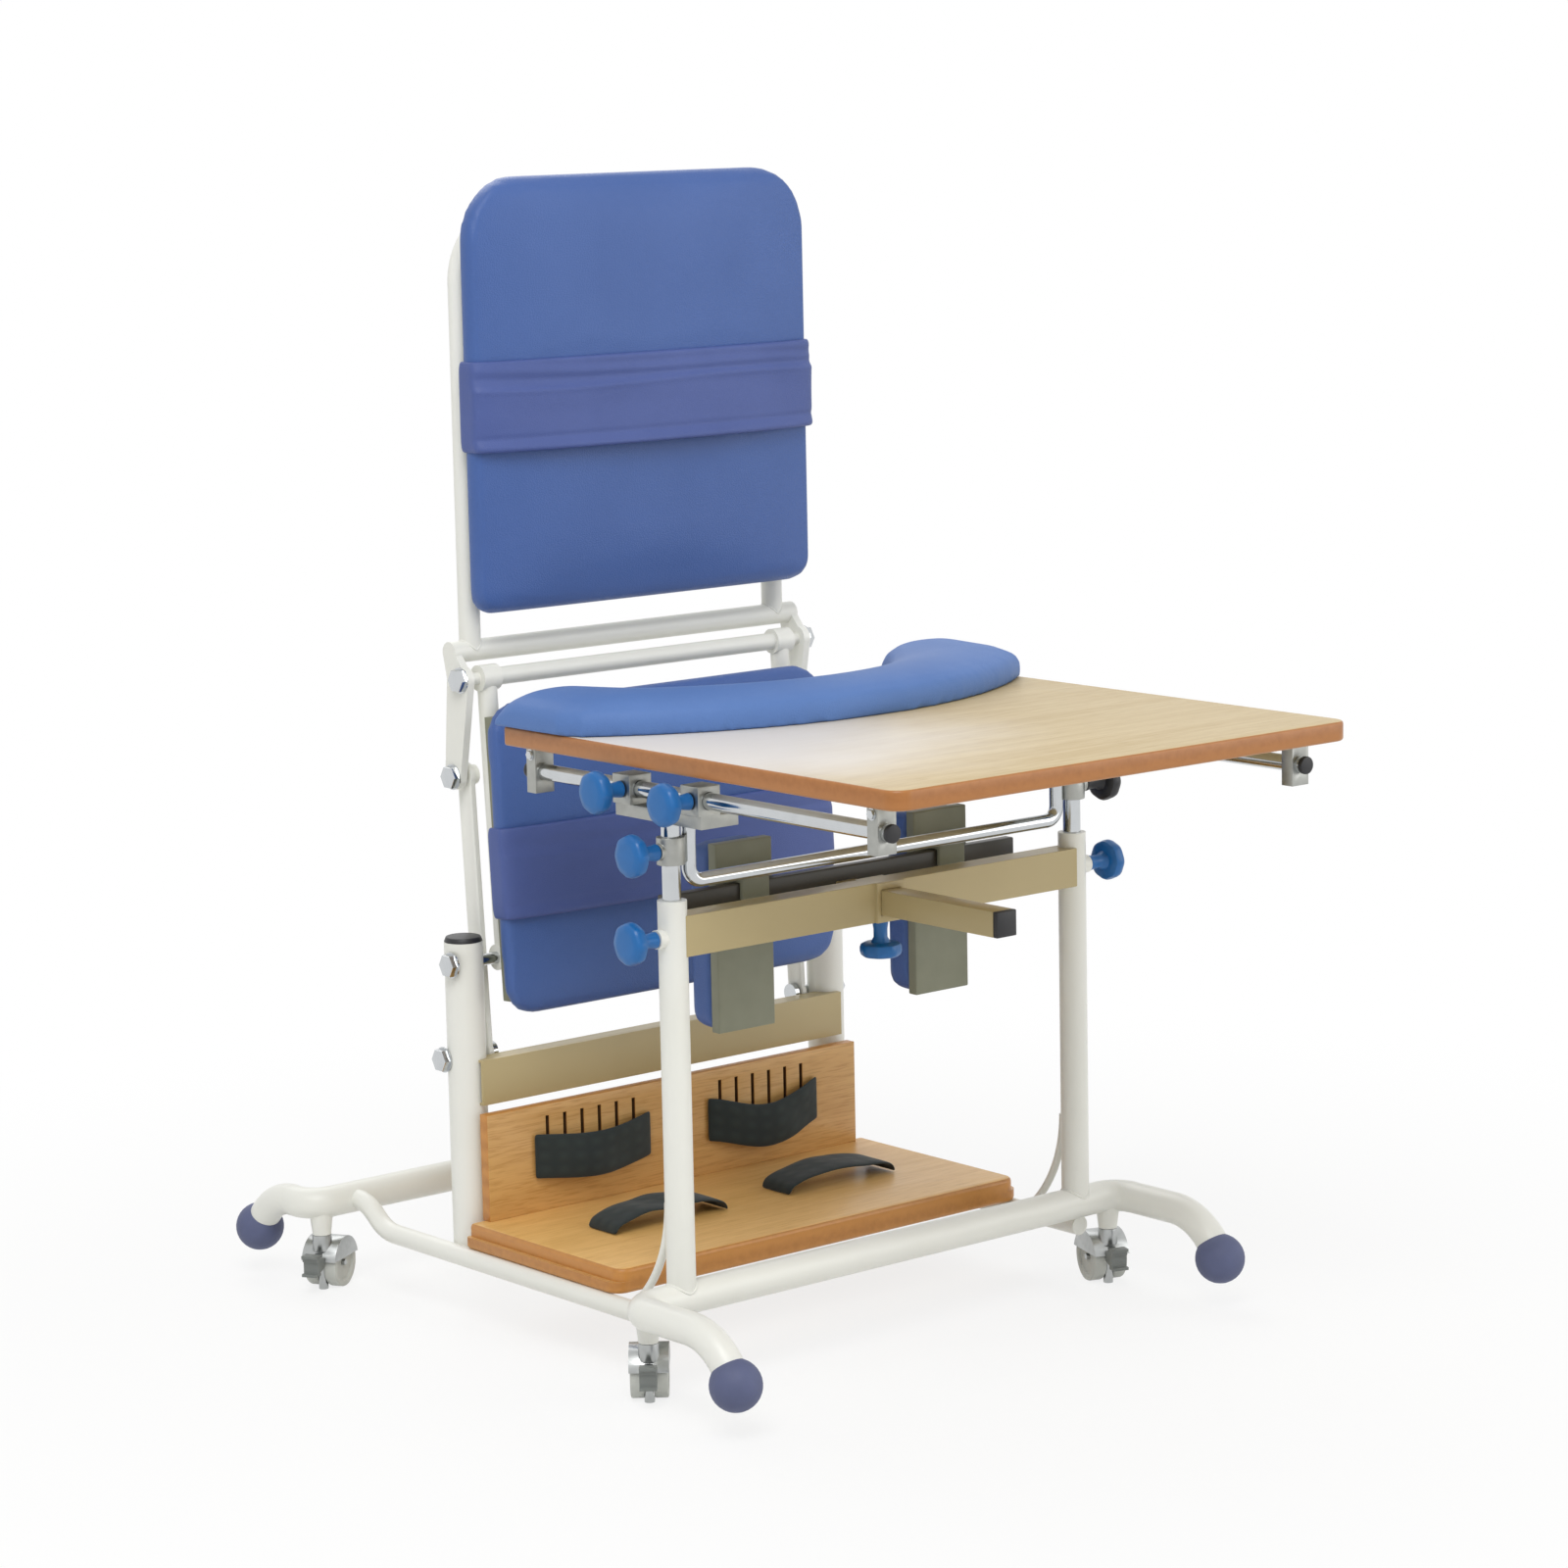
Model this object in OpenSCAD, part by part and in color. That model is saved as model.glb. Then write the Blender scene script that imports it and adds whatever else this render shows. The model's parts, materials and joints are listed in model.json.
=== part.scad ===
// Standing frame: a wheeled tube base with outrigger ball feet, a sit to stand seat
// and back on a parallel linkage, a sliding tray on a telescopic column and knee supports.
// The front of the frame faces -Y and the floor is at Z = 0.

/* [Base rails] */
// Outside diameter of the front and rear rails
rail_d = 32; // [30:1:34]
// Wall of the front and rear rails
rail_wall = 2; // [1.5:0.5:3]
// Height of the rail axes above the floor
rail_z = 91; // [89:1:96]
// Distance of the front rail ahead of the origin
front_rail_y = 155; // [150:1:165]
// Distance of the rear rail behind the origin
rear_rail_y = 386; // [376:1:396]
// Half spacing of the outrigger legs
leg_x = 313; // [309:1:325]
// Bend radius where a rail turns into a leg
leg_bend = 24; // [22:1:28]
// Reach of the front ball feet ahead of the front rail
front_reach = 149; // [140:1:170]
// Reach of the rear ball feet behind the rear rail
rear_reach = 97; // [96:1:110]
// Bend radius of the drop to a ball foot
drop_bend = 70; // [50:1:74]
// Diameter of the ball feet
ball_d = 50; // [46:1:52]
// Gap between the ball feet and the floor
ball_lift = 26; // [22:1:30]

/* [Side rails] */
// Outside diameter of the side rails
side_d = 20; // [18:1:22]
// Wall of the side rails
side_wall = 2; // [1.5:0.5:2.5]
// Half spacing of the side rails
side_x = 262; // [260:1:264]
// Height of the side rail axes above the floor
side_z = 66; // [65:1:67]
// Distance of the side rail dip ahead of the rear rail
side_dip = 28; // [26:1:36]
// Diameter of the corner brace rods
brace_d = 8; // [6:0.5:10]
// Radius of the corner brace arcs
brace_r = 135; // [125:1:150]
// Height of the corner braces above the side rails
brace_h = 105; // [95:1:110]

/* [Rear posts] */
// Outside diameter of the rear posts
rear_post_d = 39; // [36:1:40]
// Wall of the rear posts
rear_post_wall = 2.5; // [2:0.5:3]
// Half spacing of the rear posts
rear_post_x = 236; // [236:1:240]
// Distance of the rear posts behind the origin
rear_post_y = 209; // [205:1:213]
// Height of the rear post tops
rear_post_top = 382; // [378:1:390]
// Height of the box section of the cross bar between the rear posts
cross_h = 46; // [42:1:46]
// Depth of the box section of the cross bar
cross_t = 21; // [18:1:21]
// Distance of the cross bar axis behind the origin
cross_y = 194; // [194:0.5:195]
// Height of the cross bar axis
cross_z = 240; // [238:1:241]
// Thickness of the rear post caps
cap_t = 5; // [3:0.5:8]

/* [Front posts and beam] */
// Outside diameter of the front posts
front_post_d = 28; // [27:0.5:30]
// Wall of the front posts
front_post_wall = 2; // [1.5:0.5:3]
// Half spacing of the front posts
front_post_x = 256; // [252:1:260]
// Height of the front post tops
front_post_top = 474; // [468:1:474]
// Length of the guide bush in each front post top
guide_h = 60; // [40:5:80]
// Height of the beam axis
beam_z = 440; // [436:1:441]
// Height of the beam section
beam_h = 39; // [37:1:42]
// Depth of the beam section
beam_t = 26; // [22:1:28]
// Wall of the beam
beam_wall = 2.5; // [2:0.5:3]

/* [Footplate] */
// Width of the footplate
foot_w = 528; // [520:1:540]
// Distance of the footplate front edge ahead of the origin
foot_front = 64; // [55:1:64]
// Thickness of the lower board
foot_base_t = 12; // [10:1:13]
// Thickness of the upper board
foot_top_t = 13; // [10:1:15]
// Overhang of the lower board beyond the upper one
foot_step = 5; // [3:1:8]
// Width of the heel panel
heel_w = 484; // [460:1:500]
// Thickness of the heel panel
heel_t = 12; // [9:1:14]
// Height of the heel panel above the footplate
heel_h = 109; // [100:1:110]
// Distance of the heel panel face behind the origin
heel_y = 170; // [166:1:171]
// Half spacing of the foot straps
strap_x = 112; // [100:1:120]
// Width of the strap webbing
strap_w = 48; // [40:1:50]
// Span of each strap
strap_span = 150; // [140:1:160]
// Thickness of the strap webbing
strap_t = 3; // [2:0.5:4]
// Rise of the toe straps above the footplate
toe_rise = 24; // [20:1:30]
// Rise of the heel straps off the heel panel
heel_rise = 18; // [12:1:24]
// Drop of the heel straps below the top of the heel panel
heel_drop = 27; // [25:1:29]
// Spacing of the slots in the heel panel
slot_step = 22; // [20:1:24]
// Width of each slot
slot_w = 4; // [3:0.5:5]
// Distance of the toe strap centres behind the origin
toe_y = 62; // [50:1:70]

/* [Sit to stand linkage] */
// Distance of the lower seat pivot behind the origin
seat_pivot_y = 202; // [200:1:204]
// Height of the lower seat pivot
seat_pivot_z = 361; // [358:1:362]
// Setback of the upper seat pivot from the lower one
arm_dy = 17; // [12:1:20]
// Height of the upper seat pivot above the lower one
arm_dz = 281; // [275:1:285]
// Setback of each link pivot from the seat pivot above it
link_dy = 18; // [16:1:18]
// Drop of each link pivot below the seat pivot above it
link_dz = 99; // [97:1:99]
// Radius of the pivot pins
pin_r = 6; // [5:0.5:6]
// Radial running clearance of the pivots
run_gap = 0.06; // [0.02:0.01:0.1]
// Radial clearance of the open link pivot
open_gap = 0.6; // [0.4:0.1:1]
// Outside radius of the pivot eyes
eye_r = 13; // [11:0.5:13]
// Width of the link bars
link_w = 22; // [20:1:22]
// Thickness of the link bars
link_t = 6; // [5:0.5:6]
// Thickness of the lever plates
lever_t = 8; // [6:0.5:8]

/* [Seat] */
// Diameter of the seat frame tubes
seat_tube_d = 20; // [18:1:20]
// Half spacing of the seat side tubes
seat_tube_x = 190; // [188:1:190]
// Thickness of the seat board
seat_board_t = 12; // [9:1:14]
// Half width of the seat board
seat_board_x = 203; // [195:1:205]
// Half width of the seat pad
seat_pad_x = 213; // [208:1:213]
// Length of the seat pad
seat_pad_h = 314; // [300:1:316]
// Reach of the seat pad below the lower pivot
seat_pad_low = 57; // [50:1:60]
// Thickness of the seat pad
seat_pad_t = 27; // [22:1:30]
// Height of the hip belt above the lower pivot
hip_low = 42; // [38:1:50]
// Width of the hip belt
hip_h = 92; // [80:1:96]

/* [Back] */
// Diameter of the back frame tubes
back_tube_d = 22; // [20:1:24]
// Half spacing of the back frame tubes
back_tube_x = 196; // [190:1:197]
// Distance of the back frame behind the origin
back_y = 237; // [236:1:242]
// Height of the bottom tube of the back frame
back_low_z = 668; // [664:1:672]
// Height of the top tube of the back frame
back_top_z = 1102; // [1080:1:1110]
// Bend radius of the back frame corners
back_bend = 70; // [50:5:80]
// Thickness of the back board
back_board_t = 12; // [9:1:14]
// Half width of the back pad
back_pad_x = 214; // [213:1:218]
// Height of the back pad's lower edge
back_pad_z = 707; // [704:1:712]
// Height of the back pad
back_pad_h = 430; // [410:1:435]
// Thickness of the back pad
back_pad_t = 34; // [28:1:36]
// Height of the chest belt's lower edge
chest_z = 868; // [850:1:880]
// Width of the chest belt
chest_h = 90; // [80:1:100]

/* [Tray] */
// Width of the tray
tray_w = 570; // [560:1:590]
// Distance of the tray front edge ahead of the origin
tray_front = 508; // [490:1:520]
// Distance of the tray rear edge behind the origin
tray_rear = 63; // [55:1:70]
// Height of the tray top
tray_z = 619; // [616:1:625]
// Thickness of the tray
tray_t = 19; // [16:1:20]
// Corner radius of the tray
tray_corner = 18; // [10:1:30]
// Radius of the body cut-out
cut_r = 223; // [215:1:226]
// Distance of the cut-out centre behind the origin
cut_y = 160; // [157:1:166]
// Height of the tray pad
tray_pad_h = 36; // [30:1:40]
// Diameter of the slide tubes
slide_d = 16; // [15:0.5:16]
// Half spacing of the slide tubes
slide_x = 260; // [258:1:262]
// Drop of the slide tube axes below the tray
slide_drop = 25; // [24:1:26]
// Width of the tray hangers
hanger_w = 22; // [20:1:24]
// Distance of the slide tube front ends ahead of the origin
slide_front = 470; // [460:1:476]
// Distance of the slide tube rear ends behind the origin
slide_rear = 50; // [46:1:54]

/* [Column] */
// Diameter of the column tubes
col_d = 18; // [17:0.5:19]
// Wall of the column tubes
col_wall = 2; // [1.5:0.5:2.5]
// Height of the column tube lower ends
col_low = 190; // [180:1:200]
// Height of the column tube upper ends
col_top = 549; // [547:1:551]
// Diameter of the column cross bar
col_bar_d = 14; // [12:0.5:14]
// Height of the column cross bar axis
col_bar_z = 489; // [488:1:491]
// Lower face of the column collars
head_z = 508; // [506:1:509]
// Height of the column collars
head_h = 26; // [24:1:28]
// Distance of the front slide clamps ahead of the origin
clamp_front = 206; // [202:1:210]
// Distance of the rear slide clamps ahead of the origin
clamp_rear = 104; // [100:1:108]
// Length of each slide clamp
clamp_len = 26; // [24:1:28]
// Sliding clearance of tubes in their guides
slide_gap = 0.1; // [0.05:0.01:0.1]

/* [Knee supports] */
// Side of the square knee arm
arm_w = 25; // [23:0.5:25]
// Wall of the knee arm
arm_wall = 2; // [1.5:0.5:2.5]
// Distance of the arm front end ahead of the origin
arm_front = 330; // [320:1:340]
// Distance of the knee bar face ahead of the origin
knee_bar_y = 104; // [100:1:106]
// Thickness of the knee bar
knee_bar_t = 12; // [10:1:12]
// Height of the knee bar section
knee_bar_h = 37; // [34:1:38]
// Half length of the knee bar
knee_bar_x = 224; // [218:1:228]
// Distance of the left knee pad from the middle
knee_left_x = 117; // [112:1:122]
// Distance of the right knee pad from the middle
knee_right_x = 136; // [130:1:138]
// Width of each knee pad
knee_w = 70; // [66:1:74]
// Height of the knee pad lower edges
knee_low = 320; // [315:1:330]
// Height of each knee pad
knee_h = 185; // [175:1:190]
// Thickness of each knee board
knee_board_t = 12; // [10:1:14]
// Thickness of each knee pad
knee_pad_t = 40; // [34:1:44]

/* [Casters] */
// Half spacing of the caster stems
caster_x = 299; // [297:1:302]
// Diameter of the caster wheels
wheel_d = 50; // [48:1:50]
// Width of each wheel
wheel_w = 14; // [12:0.5:15]
// Trail of the wheel axle behind the stem
trail = 16; // [14:1:18]
// Diameter of the caster stem
stem_d = 10; // [8:0.5:11]
// Lower face of the stem bosses
boss_z = 58; // [57.5:0.5:59]
// Diameter of the wheel axle
axle_d = 6; // [5:0.5:7]
// Thickness of the web between the wheels
web_t = 8; // [7:0.5:9]
// Thickness of the hood over the wheels
hood_t = 2; // [1.5:0.5:2]
// Turn of the front left caster about its stem
turn_fl = 320; // [0:5:355]
// Turn of the front right caster about its stem
turn_fr = 340; // [0:5:355]
// Turn of the rear left caster about its stem
turn_rl = 300; // [0:5:355]
// Turn of the rear right caster about its stem
turn_rr = 160; // [0:5:355]

/* [Clamp knobs] */
// Diameter of the clamp knobs
knob_d = 41; // [36:1:42]
// Height of the clamp knobs
knob_h = 36; // [32:1:40]
// Thickness of the knob discs
knob_t = 14; // [12:1:16]
// Diameter of the knob necks
knob_neck = 15; // [13:1:18]
// Diameter of the clamp screws
screw_d = 8; // [7:0.5:8]
// Height of the post clamp screws
post_knob_z = 439; // [436:1:446]
// Height of the head clamp screws
head_knob_z = 521; // [519:1:526]

/* [Hidden] */
$fn = 64;

paint = "#F0F0EA";
chrome = "#C9CCCE";
vinyl = "#4F6BA6";
webbing = "#5864A0";
oak = "#DDCFB0";
lacquer = "#BD7F3F";
strap_black = "#2C3530";
knob_blue = "#2A80C0";
slate = "#5F6590";
board_grey = "#7A7C6E";
plug_black = "#202022";
wheel_grey = "#B9BBB4";
beam_tan = "#BCAB7F";

touch = 0.3;
lap_len = 0.5;
lap_d = 0.2;
rail_r = rail_d / 2;
ball_z = ball_lift + ball_d / 2;
leg_drop = rail_z - ball_z;
leg_fall = [0.6, 0.8];
leg_run = leg_drop * leg_fall[0] / leg_fall[1];
bend_x = leg_x - leg_bend;
caster_set = leg_bend - sqrt(pow(leg_bend, 2) - pow(caster_x - bend_x, 2));
side_top = side_z + side_d / 2;
foot_top = side_top + foot_base_t + foot_top_t;
foot_rear = heel_y + heel_t;
arm_len = sqrt(pow(arm_dy, 2) + pow(arm_dz, 2));
arm_tilt = atan2(arm_dy, arm_dz);
upper_y = seat_pivot_y + arm_dy;
upper_z = seat_pivot_z + arm_dz;
link_low_y = seat_pivot_y + link_dy;
link_low_z = seat_pivot_z - link_dz;
link_top_y = upper_y + link_dy;
link_top_z = upper_z - link_dz;
post_in = rear_post_x - rear_post_d / 2;
post_out = rear_post_x + rear_post_d / 2;
eye_in = seat_tube_x - seat_tube_d / 2 - 1;
eye_out = seat_tube_x + seat_tube_d / 2 + 1;
link_in = eye_out + 2;
blind_in = eye_in + 3;
link_out = link_in + link_t;
lever_in = link_out + 5;
lever_out = lever_in + lever_t;
head_bolt_r = 10;
head_bolt_t = 7;
slide_z = tray_z - tray_t - slide_drop;
clamp_top = slide_z + slide_d / 2 + 6;
carrier_top = slide_z - slide_d / 2 - 6;
head_in = front_post_x - 30;
head_out = front_post_x + 16;
collar_d = col_d + 9;
bar_up_x = front_post_x - collar_d / 2 - col_bar_d / 2 - 0.5;
arm_z = beam_z;
sleeve_t = 5;
knee_bar_z = arm_z + 8;
knee_face = -knee_bar_y + knee_bar_t + touch;
hood_r = wheel_d / 2 + 1 + hood_t;
hood_w = 2 * wheel_w + web_t + 2;

function unit(v) = v / norm(v);
function power(v, e) = sign(v) * pow(abs(v), e);
function turn_of(u, w) = acos(max(-1, min(1, u * w)));

// Places children with their local axes along x, y and z at a point
module placed(x, y, z, p) {
  multmatrix([
    [x[0], y[0], z[0], p[0]],
    [x[1], y[1], z[1], p[1]],
    [x[2], y[2], z[2], p[2]],
    [0, 0, 0, 1]
  ]) children();
}

// Round bar between two points
module bar(a, b, d) {
  v = b - a;
  translate(a)
    rotate([0, acos(v[2] / norm(v)), atan2(v[1], v[0])])
      cylinder(d = d, h = norm(v));
}

// Round bar along a path, with a bend radius at each inner point and bends lapped over the straights
module bent_bar(path, radii, d) {
  last = len(path) - 1;
  cut = [for (i = [0:last])
    i == 0 || i == last ? 0
    : radii[i - 1] * tan(turn_of(unit(path[i] - path[i - 1]), unit(path[i + 1] - path[i])) / 2)];
  for (i = [0:last - 1]) {
    u = unit(path[i + 1] - path[i]);
    a = path[i] + u * cut[i];
    b = path[i + 1] - u * cut[i + 1];
    if (norm(b - a) > 0.01) bar(a, b, d);
  }
  for (i = [1:last - 1]) {
    u = unit(path[i] - path[i - 1]);
    w = unit(path[i + 1] - path[i]);
    n = unit(w - u * (u * w));
    r = radii[i - 1];
    lap = lap_len / r * 180 / PI;
    placed(-n, u, cross(-n, u), path[i] - u * cut[i] + n * r)
      rotate([0, 0, -lap])
        rotate_extrude(angle = turn_of(u, w) + 2 * lap)
          translate([r, 0])
            circle(d = d + lap_d);
  }
}

// A piece and its mirror image across the middle plane
module pair() {
  children();
  mirror([1, 0, 0]) children();
}

// Box given by its low and high corners
module block(a, b) {
  translate(a) cube(b - a);
}

// Bar along X
module xbar(x0, x1, y, z, r) {
  translate([x0, y, z]) rotate([0, 90, 0]) cylinder(r = r, h = x1 - x0);
}

// Bar along Y
module ybar(y0, y1, x, z, r) {
  translate([x, y0, z]) rotate([-90, 0, 0]) cylinder(r = r, h = y1 - y0);
}

// Surface through a stack of closed rings that run anticlockwise seen from the last one
module loft(rings) {
  m = len(rings);
  k = len(rings[0]);
  mid = function(r) [for (c = [0:2]) [for (p = r) p[c]] * [for (p = r) 1] / len(r)];
  pts = concat([for (r = rings) each r], [mid(rings[0]), mid(rings[m - 1])]);
  walls = [for (i = [0:m - 2]) for (j = [0:k - 1])
    let (a = i * k + j, b = i * k + (j + 1) % k)
      each [[a, a + k, b + k], [a, b + k, b]]];
  foot = [for (j = [0:k - 1]) [m * k, j, (j + 1) % k]];
  crown = [for (j = [0:k - 1]) [m * k + 1, (m - 1) * k + (j + 1) % k, (m - 1) * k + j]];
  polyhedron(pts, concat(walls, foot, crown));
}

// Section of an upholstered pad: flat behind, drawn in at the sides and crowned in front
function pad_section(w, t, crown, k = 36, draw = 14, n = 5) =
  let (e = 2 / n, base = pow(sin(draw), e), s = t / (1 + base))
    [for (i = [0:k])
      let (a = -draw + (180 + 2 * draw) * i / k, x = -power(cos(a), e))
        [w * x, -s * (power(sin(a), e) + base) - crown * (1 - x * x) * max(sin(a), 0)]];

// Closed rings of a pad that stands upright, from its lower to its upper edge
function pad_rings(w, h, t, crown, low_r, top_r, edge_r, k = 36) =
  let (
    steps = [for (d = [0.4, 2, 5, 10, 17, 27, 40, 56, 72]) if (d < h * 0.3) d],
    zs = concat(
      steps,
      [for (f = [0.35, 0.5, 0.65]) h * f],
      [for (i = [len(steps) - 1:-1:0]) h - steps[i]]
    )
  )
  [for (z = zs)
    let (
      d = min(z, h - z),
      r = z < h / 2 ? low_r : top_r,
      in_w = d < r ? r - sqrt(r * r - pow(r - d, 2)) : 0,
      f = d < edge_r ? sqrt(1 - pow(1 - d / edge_r, 2)) : 1,
      c = crown * min(1, d / 70)
    )
    [for (p = pad_section(w - in_w, t * (0.3 + 0.7 * f), c * f, k)) [p[0], p[1], z]]
  ];

// Axis of a rail and its two legs from one ball foot to the other
function rail_path(y, reach, over) =
  let (
    s = sign(reach),
    knee = y + reach - s * leg_run,
    end = [leg_x, y + reach + s * over * leg_fall[0], ball_z - over * leg_fall[1]]
  )
  [
    [-end[0], end[1], end[2]], [-leg_x, knee, rail_z], [-leg_x, y, rail_z],
    [leg_x, y, rail_z], [leg_x, knee, rail_z], end
  ];

// Drop bend that leaves a straight run between itself and the leg bend
function drop_radius(reach) = min(drop_bend, 2 * (reach - leg_run - leg_bend - 2));

module front_solid(d, over = 0) {
  r = drop_radius(front_reach);
  bent_bar(rail_path(-front_rail_y, -front_reach, over), [r, leg_bend, leg_bend, r], d);
}

module rear_solid(d, over = 0) {
  r = drop_radius(rear_reach);
  bent_bar(rail_path(rear_rail_y, rear_reach, over), [r, leg_bend, leg_bend, r], d);
}

// Tapered boss that carries a caster stem under a rail bend
module stem_boss(y) {
  translate([caster_x, y, boss_z])
    cylinder(d1 = stem_d + 9, d2 = stem_d + 15, h = rail_z - rail_r / 2 - boss_z);
}

module stem_hole(y) {
  translate([caster_x, y, boss_z - 1])
    cylinder(d = stem_d + 2 * run_gap, h = rail_z - rail_r - boss_z - 1);
}

front_caster_y = -front_rail_y - caster_set;
rear_caster_y = rear_rail_y + caster_set;

module front_rail() {
  color(paint) difference() {
    union() {
      front_solid(rail_d);
      pair() stem_boss(front_caster_y);
    }
    front_solid(rail_d - 2 * rail_wall, 1);
    pair() stem_hole(front_caster_y);
  }
}

module rear_rail() {
  color(paint) difference() {
    union() {
      rear_solid(rail_d);
      pair() stem_boss(rear_caster_y);
    }
    rear_solid(rail_d - 2 * rail_wall, 1);
    pair() stem_hole(rear_caster_y);
  }
}

// Rubber balls pressed over the leg ends
module ball_feet() {
  color(slate) difference() {
    pair() for (y = [-front_rail_y - front_reach, rear_rail_y + rear_reach])
      translate([leg_x, y, ball_z]) sphere(d = ball_d);
    front_solid(rail_d);
    rear_solid(rail_d);
  }
}

// Side rail that dips from the rear rail under the footplate in two equal arcs
side_drop = rail_z - side_z;
side_bend = 2 * side_drop;
dip_y = rear_rail_y - side_dip;

module side_solid(d, over = 0, cap = 0) {
  bent_bar([
    [side_x, rear_rail_y + over, rail_z],
    [side_x, dip_y, rail_z],
    [side_x, dip_y - 4 / 3 * side_drop, side_z],
    [side_x, cap - front_rail_y, side_z]
  ], [side_bend, side_bend], d);
}

module side_rails() {
  color(paint) difference() {
    pair() side_solid(side_d);
    pair() side_solid(side_d - 2 * side_wall, 1, 3);
    front_solid(rail_d);
    rear_solid(rail_d);
    pair() rear_post_solid();
  }
}

module rear_post_solid() {
  translate([rear_post_x, rear_post_y, side_z - side_d / 2])
    cylinder(d = rear_post_d, h = rear_post_top - side_z + side_d / 2);
}

// Rear posts, drilled for the seat and link pivot pins
module rear_posts() {
  color(paint) pair() difference() {
    rear_post_solid();
    translate([rear_post_x, rear_post_y, 0])
      cylinder(d = rear_post_d - 2 * rear_post_wall, h = rear_post_top + 1);
    xbar(post_in - 5, post_out + 5, seat_pivot_y, seat_pivot_z, pin_r);
    xbar(post_in - 5, post_out + 5, link_low_y, link_low_z, pin_r);
  }
}

module post_caps() {
  color(plug_black) pair() translate([rear_post_x, rear_post_y, rear_post_top]) {
    cylinder(d1 = rear_post_d, d2 = rear_post_d - 4, h = cap_t);
    translate([0, 0, -8]) cylinder(d = rear_post_d - 2 * rear_post_wall, h = 8);
  }
}

// Box section between the rear posts, just above and behind the heel panel
module rear_cross_bar() {
  front = cross_y - cross_t / 2;
  rear = cross_y + cross_t / 2;
  low = cross_z - cross_h / 2;
  high = cross_z + cross_h / 2;
  color(beam_tan) difference() {
    block([-rear_post_x, front, low], [rear_post_x, rear, high]);
    block([-rear_post_x - 1, front + beam_wall, low + beam_wall],
      [rear_post_x + 1, rear - beam_wall, high - beam_wall]);
    pair() rear_post_solid();
  }
}

module front_post_solid() {
  translate([front_post_x, -front_rail_y, rail_z])
    cylinder(d = front_post_d, h = front_post_top - rail_z);
}

// Front posts with a guide bush for the column tubes and a threaded clamp boss
module front_posts() {
  color(paint) pair() difference() {
    union() {
      front_post_solid();
      xbar(front_post_x, front_post_x + front_post_d / 2 + 6, -front_rail_y, post_knob_z, 9);
    }
    translate([front_post_x, -front_rail_y, rail_z - 1])
      cylinder(d = front_post_d - 2 * front_post_wall, h = front_post_top - guide_h - rail_z + 1);
    translate([front_post_x, -front_rail_y, rail_z])
      cylinder(d = col_d + 2 * slide_gap, h = front_post_top);
    xbar(front_post_x, front_post_x + front_post_d, -front_rail_y, post_knob_z,
      screw_d / 2 + run_gap);
    front_solid(rail_d);
  }
}

// Beam between the front posts with a square sleeve for the knee arm
module front_beam() {
  arm_hole = arm_w / 2 + touch;
  color(paint) difference() {
    union() {
      difference() {
        block([-front_post_x, -front_rail_y - beam_t / 2, beam_z - beam_h / 2],
          [front_post_x, -front_rail_y + beam_t / 2, beam_z + beam_h / 2]);
        block([-front_post_x - 1, -front_rail_y - beam_t / 2 + beam_wall,
          beam_z - beam_h / 2 + beam_wall],
          [front_post_x + 1, -front_rail_y + beam_t / 2 - beam_wall,
          beam_z + beam_h / 2 - beam_wall]);
      }
      block([-arm_hole - sleeve_t, -front_rail_y - beam_t / 2 - 4, beam_z - beam_h / 2],
        [arm_hole + sleeve_t, -front_rail_y + beam_t / 2 + 4, beam_z + beam_h / 2]);
    }
    block([-arm_hole, -front_rail_y - beam_t, arm_z - arm_hole],
      [arm_hole, -front_rail_y + beam_t, arm_z + arm_hole]);
    translate([0, -front_rail_y, beam_z - beam_h])
      cylinder(d = screw_d + 2 * run_gap, h = beam_h);
    pair() front_post_solid();
  }
}

// Curved rods that brace each front post to its side rail
module front_braces() {
  reach_y = -front_rail_y + front_post_d / 2 + brace_r + brace_d / 2 - 1;
  color(paint) difference() {
    pair() translate([front_post_x, reach_y, side_top + brace_h])
      rotate([0, 90, 0])
        rotate([0, 0, -90])
          rotate_extrude(angle = asin(brace_h / brace_r) + 2)
            translate([brace_r, 0])
              circle(d = brace_d);
    pair() front_post_solid();
    pair() side_solid(side_d);
    front_solid(rail_d);
  }
}

// Lower board of the footplate, carried on the side rails
module foot_base() {
  z = side_top;
  color(lacquer) difference() {
    block([-foot_w / 2, -foot_front, z], [foot_w / 2, foot_rear, z + foot_base_t]);
    pair() rear_post_solid();
  }
}

// Upper board that the feet stand on
module foot_board() {
  z = side_top + foot_base_t;
  color(lacquer)
    block([-foot_w / 2 + foot_step, -foot_front, z], [foot_w / 2 - foot_step, foot_rear, foot_top]);
}

// Upright heel panel with a row of strap slots behind and above each heel strap
module heel_panel() {
  top = foot_top + heel_h;
  color(lacquer) difference() {
    block([-heel_w / 2, heel_y, foot_top], [heel_w / 2, foot_rear, top]);
    for (s = [-1, 1]) for (k = [-2.5:1:2.5])
      block([s * strap_x + k * slot_step - slot_w / 2, heel_y - 1, top - heel_drop - 24],
        [s * strap_x + k * slot_step + slot_w / 2, heel_y + heel_t / 2, top - 12]);
  }
}

// Arched band over a span, standing on the X axis
module arched_band(span, rise, t) {
  r = (pow(span / 2, 2) + pow(rise, 2)) / (2 * rise);
  intersection() {
    translate([0, rise - r]) difference() {
      circle(r = r, $fn = 96);
      circle(r = r - t, $fn = 96);
    }
    translate([-span, 0]) square([2 * span, rise + t]);
  }
}

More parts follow.
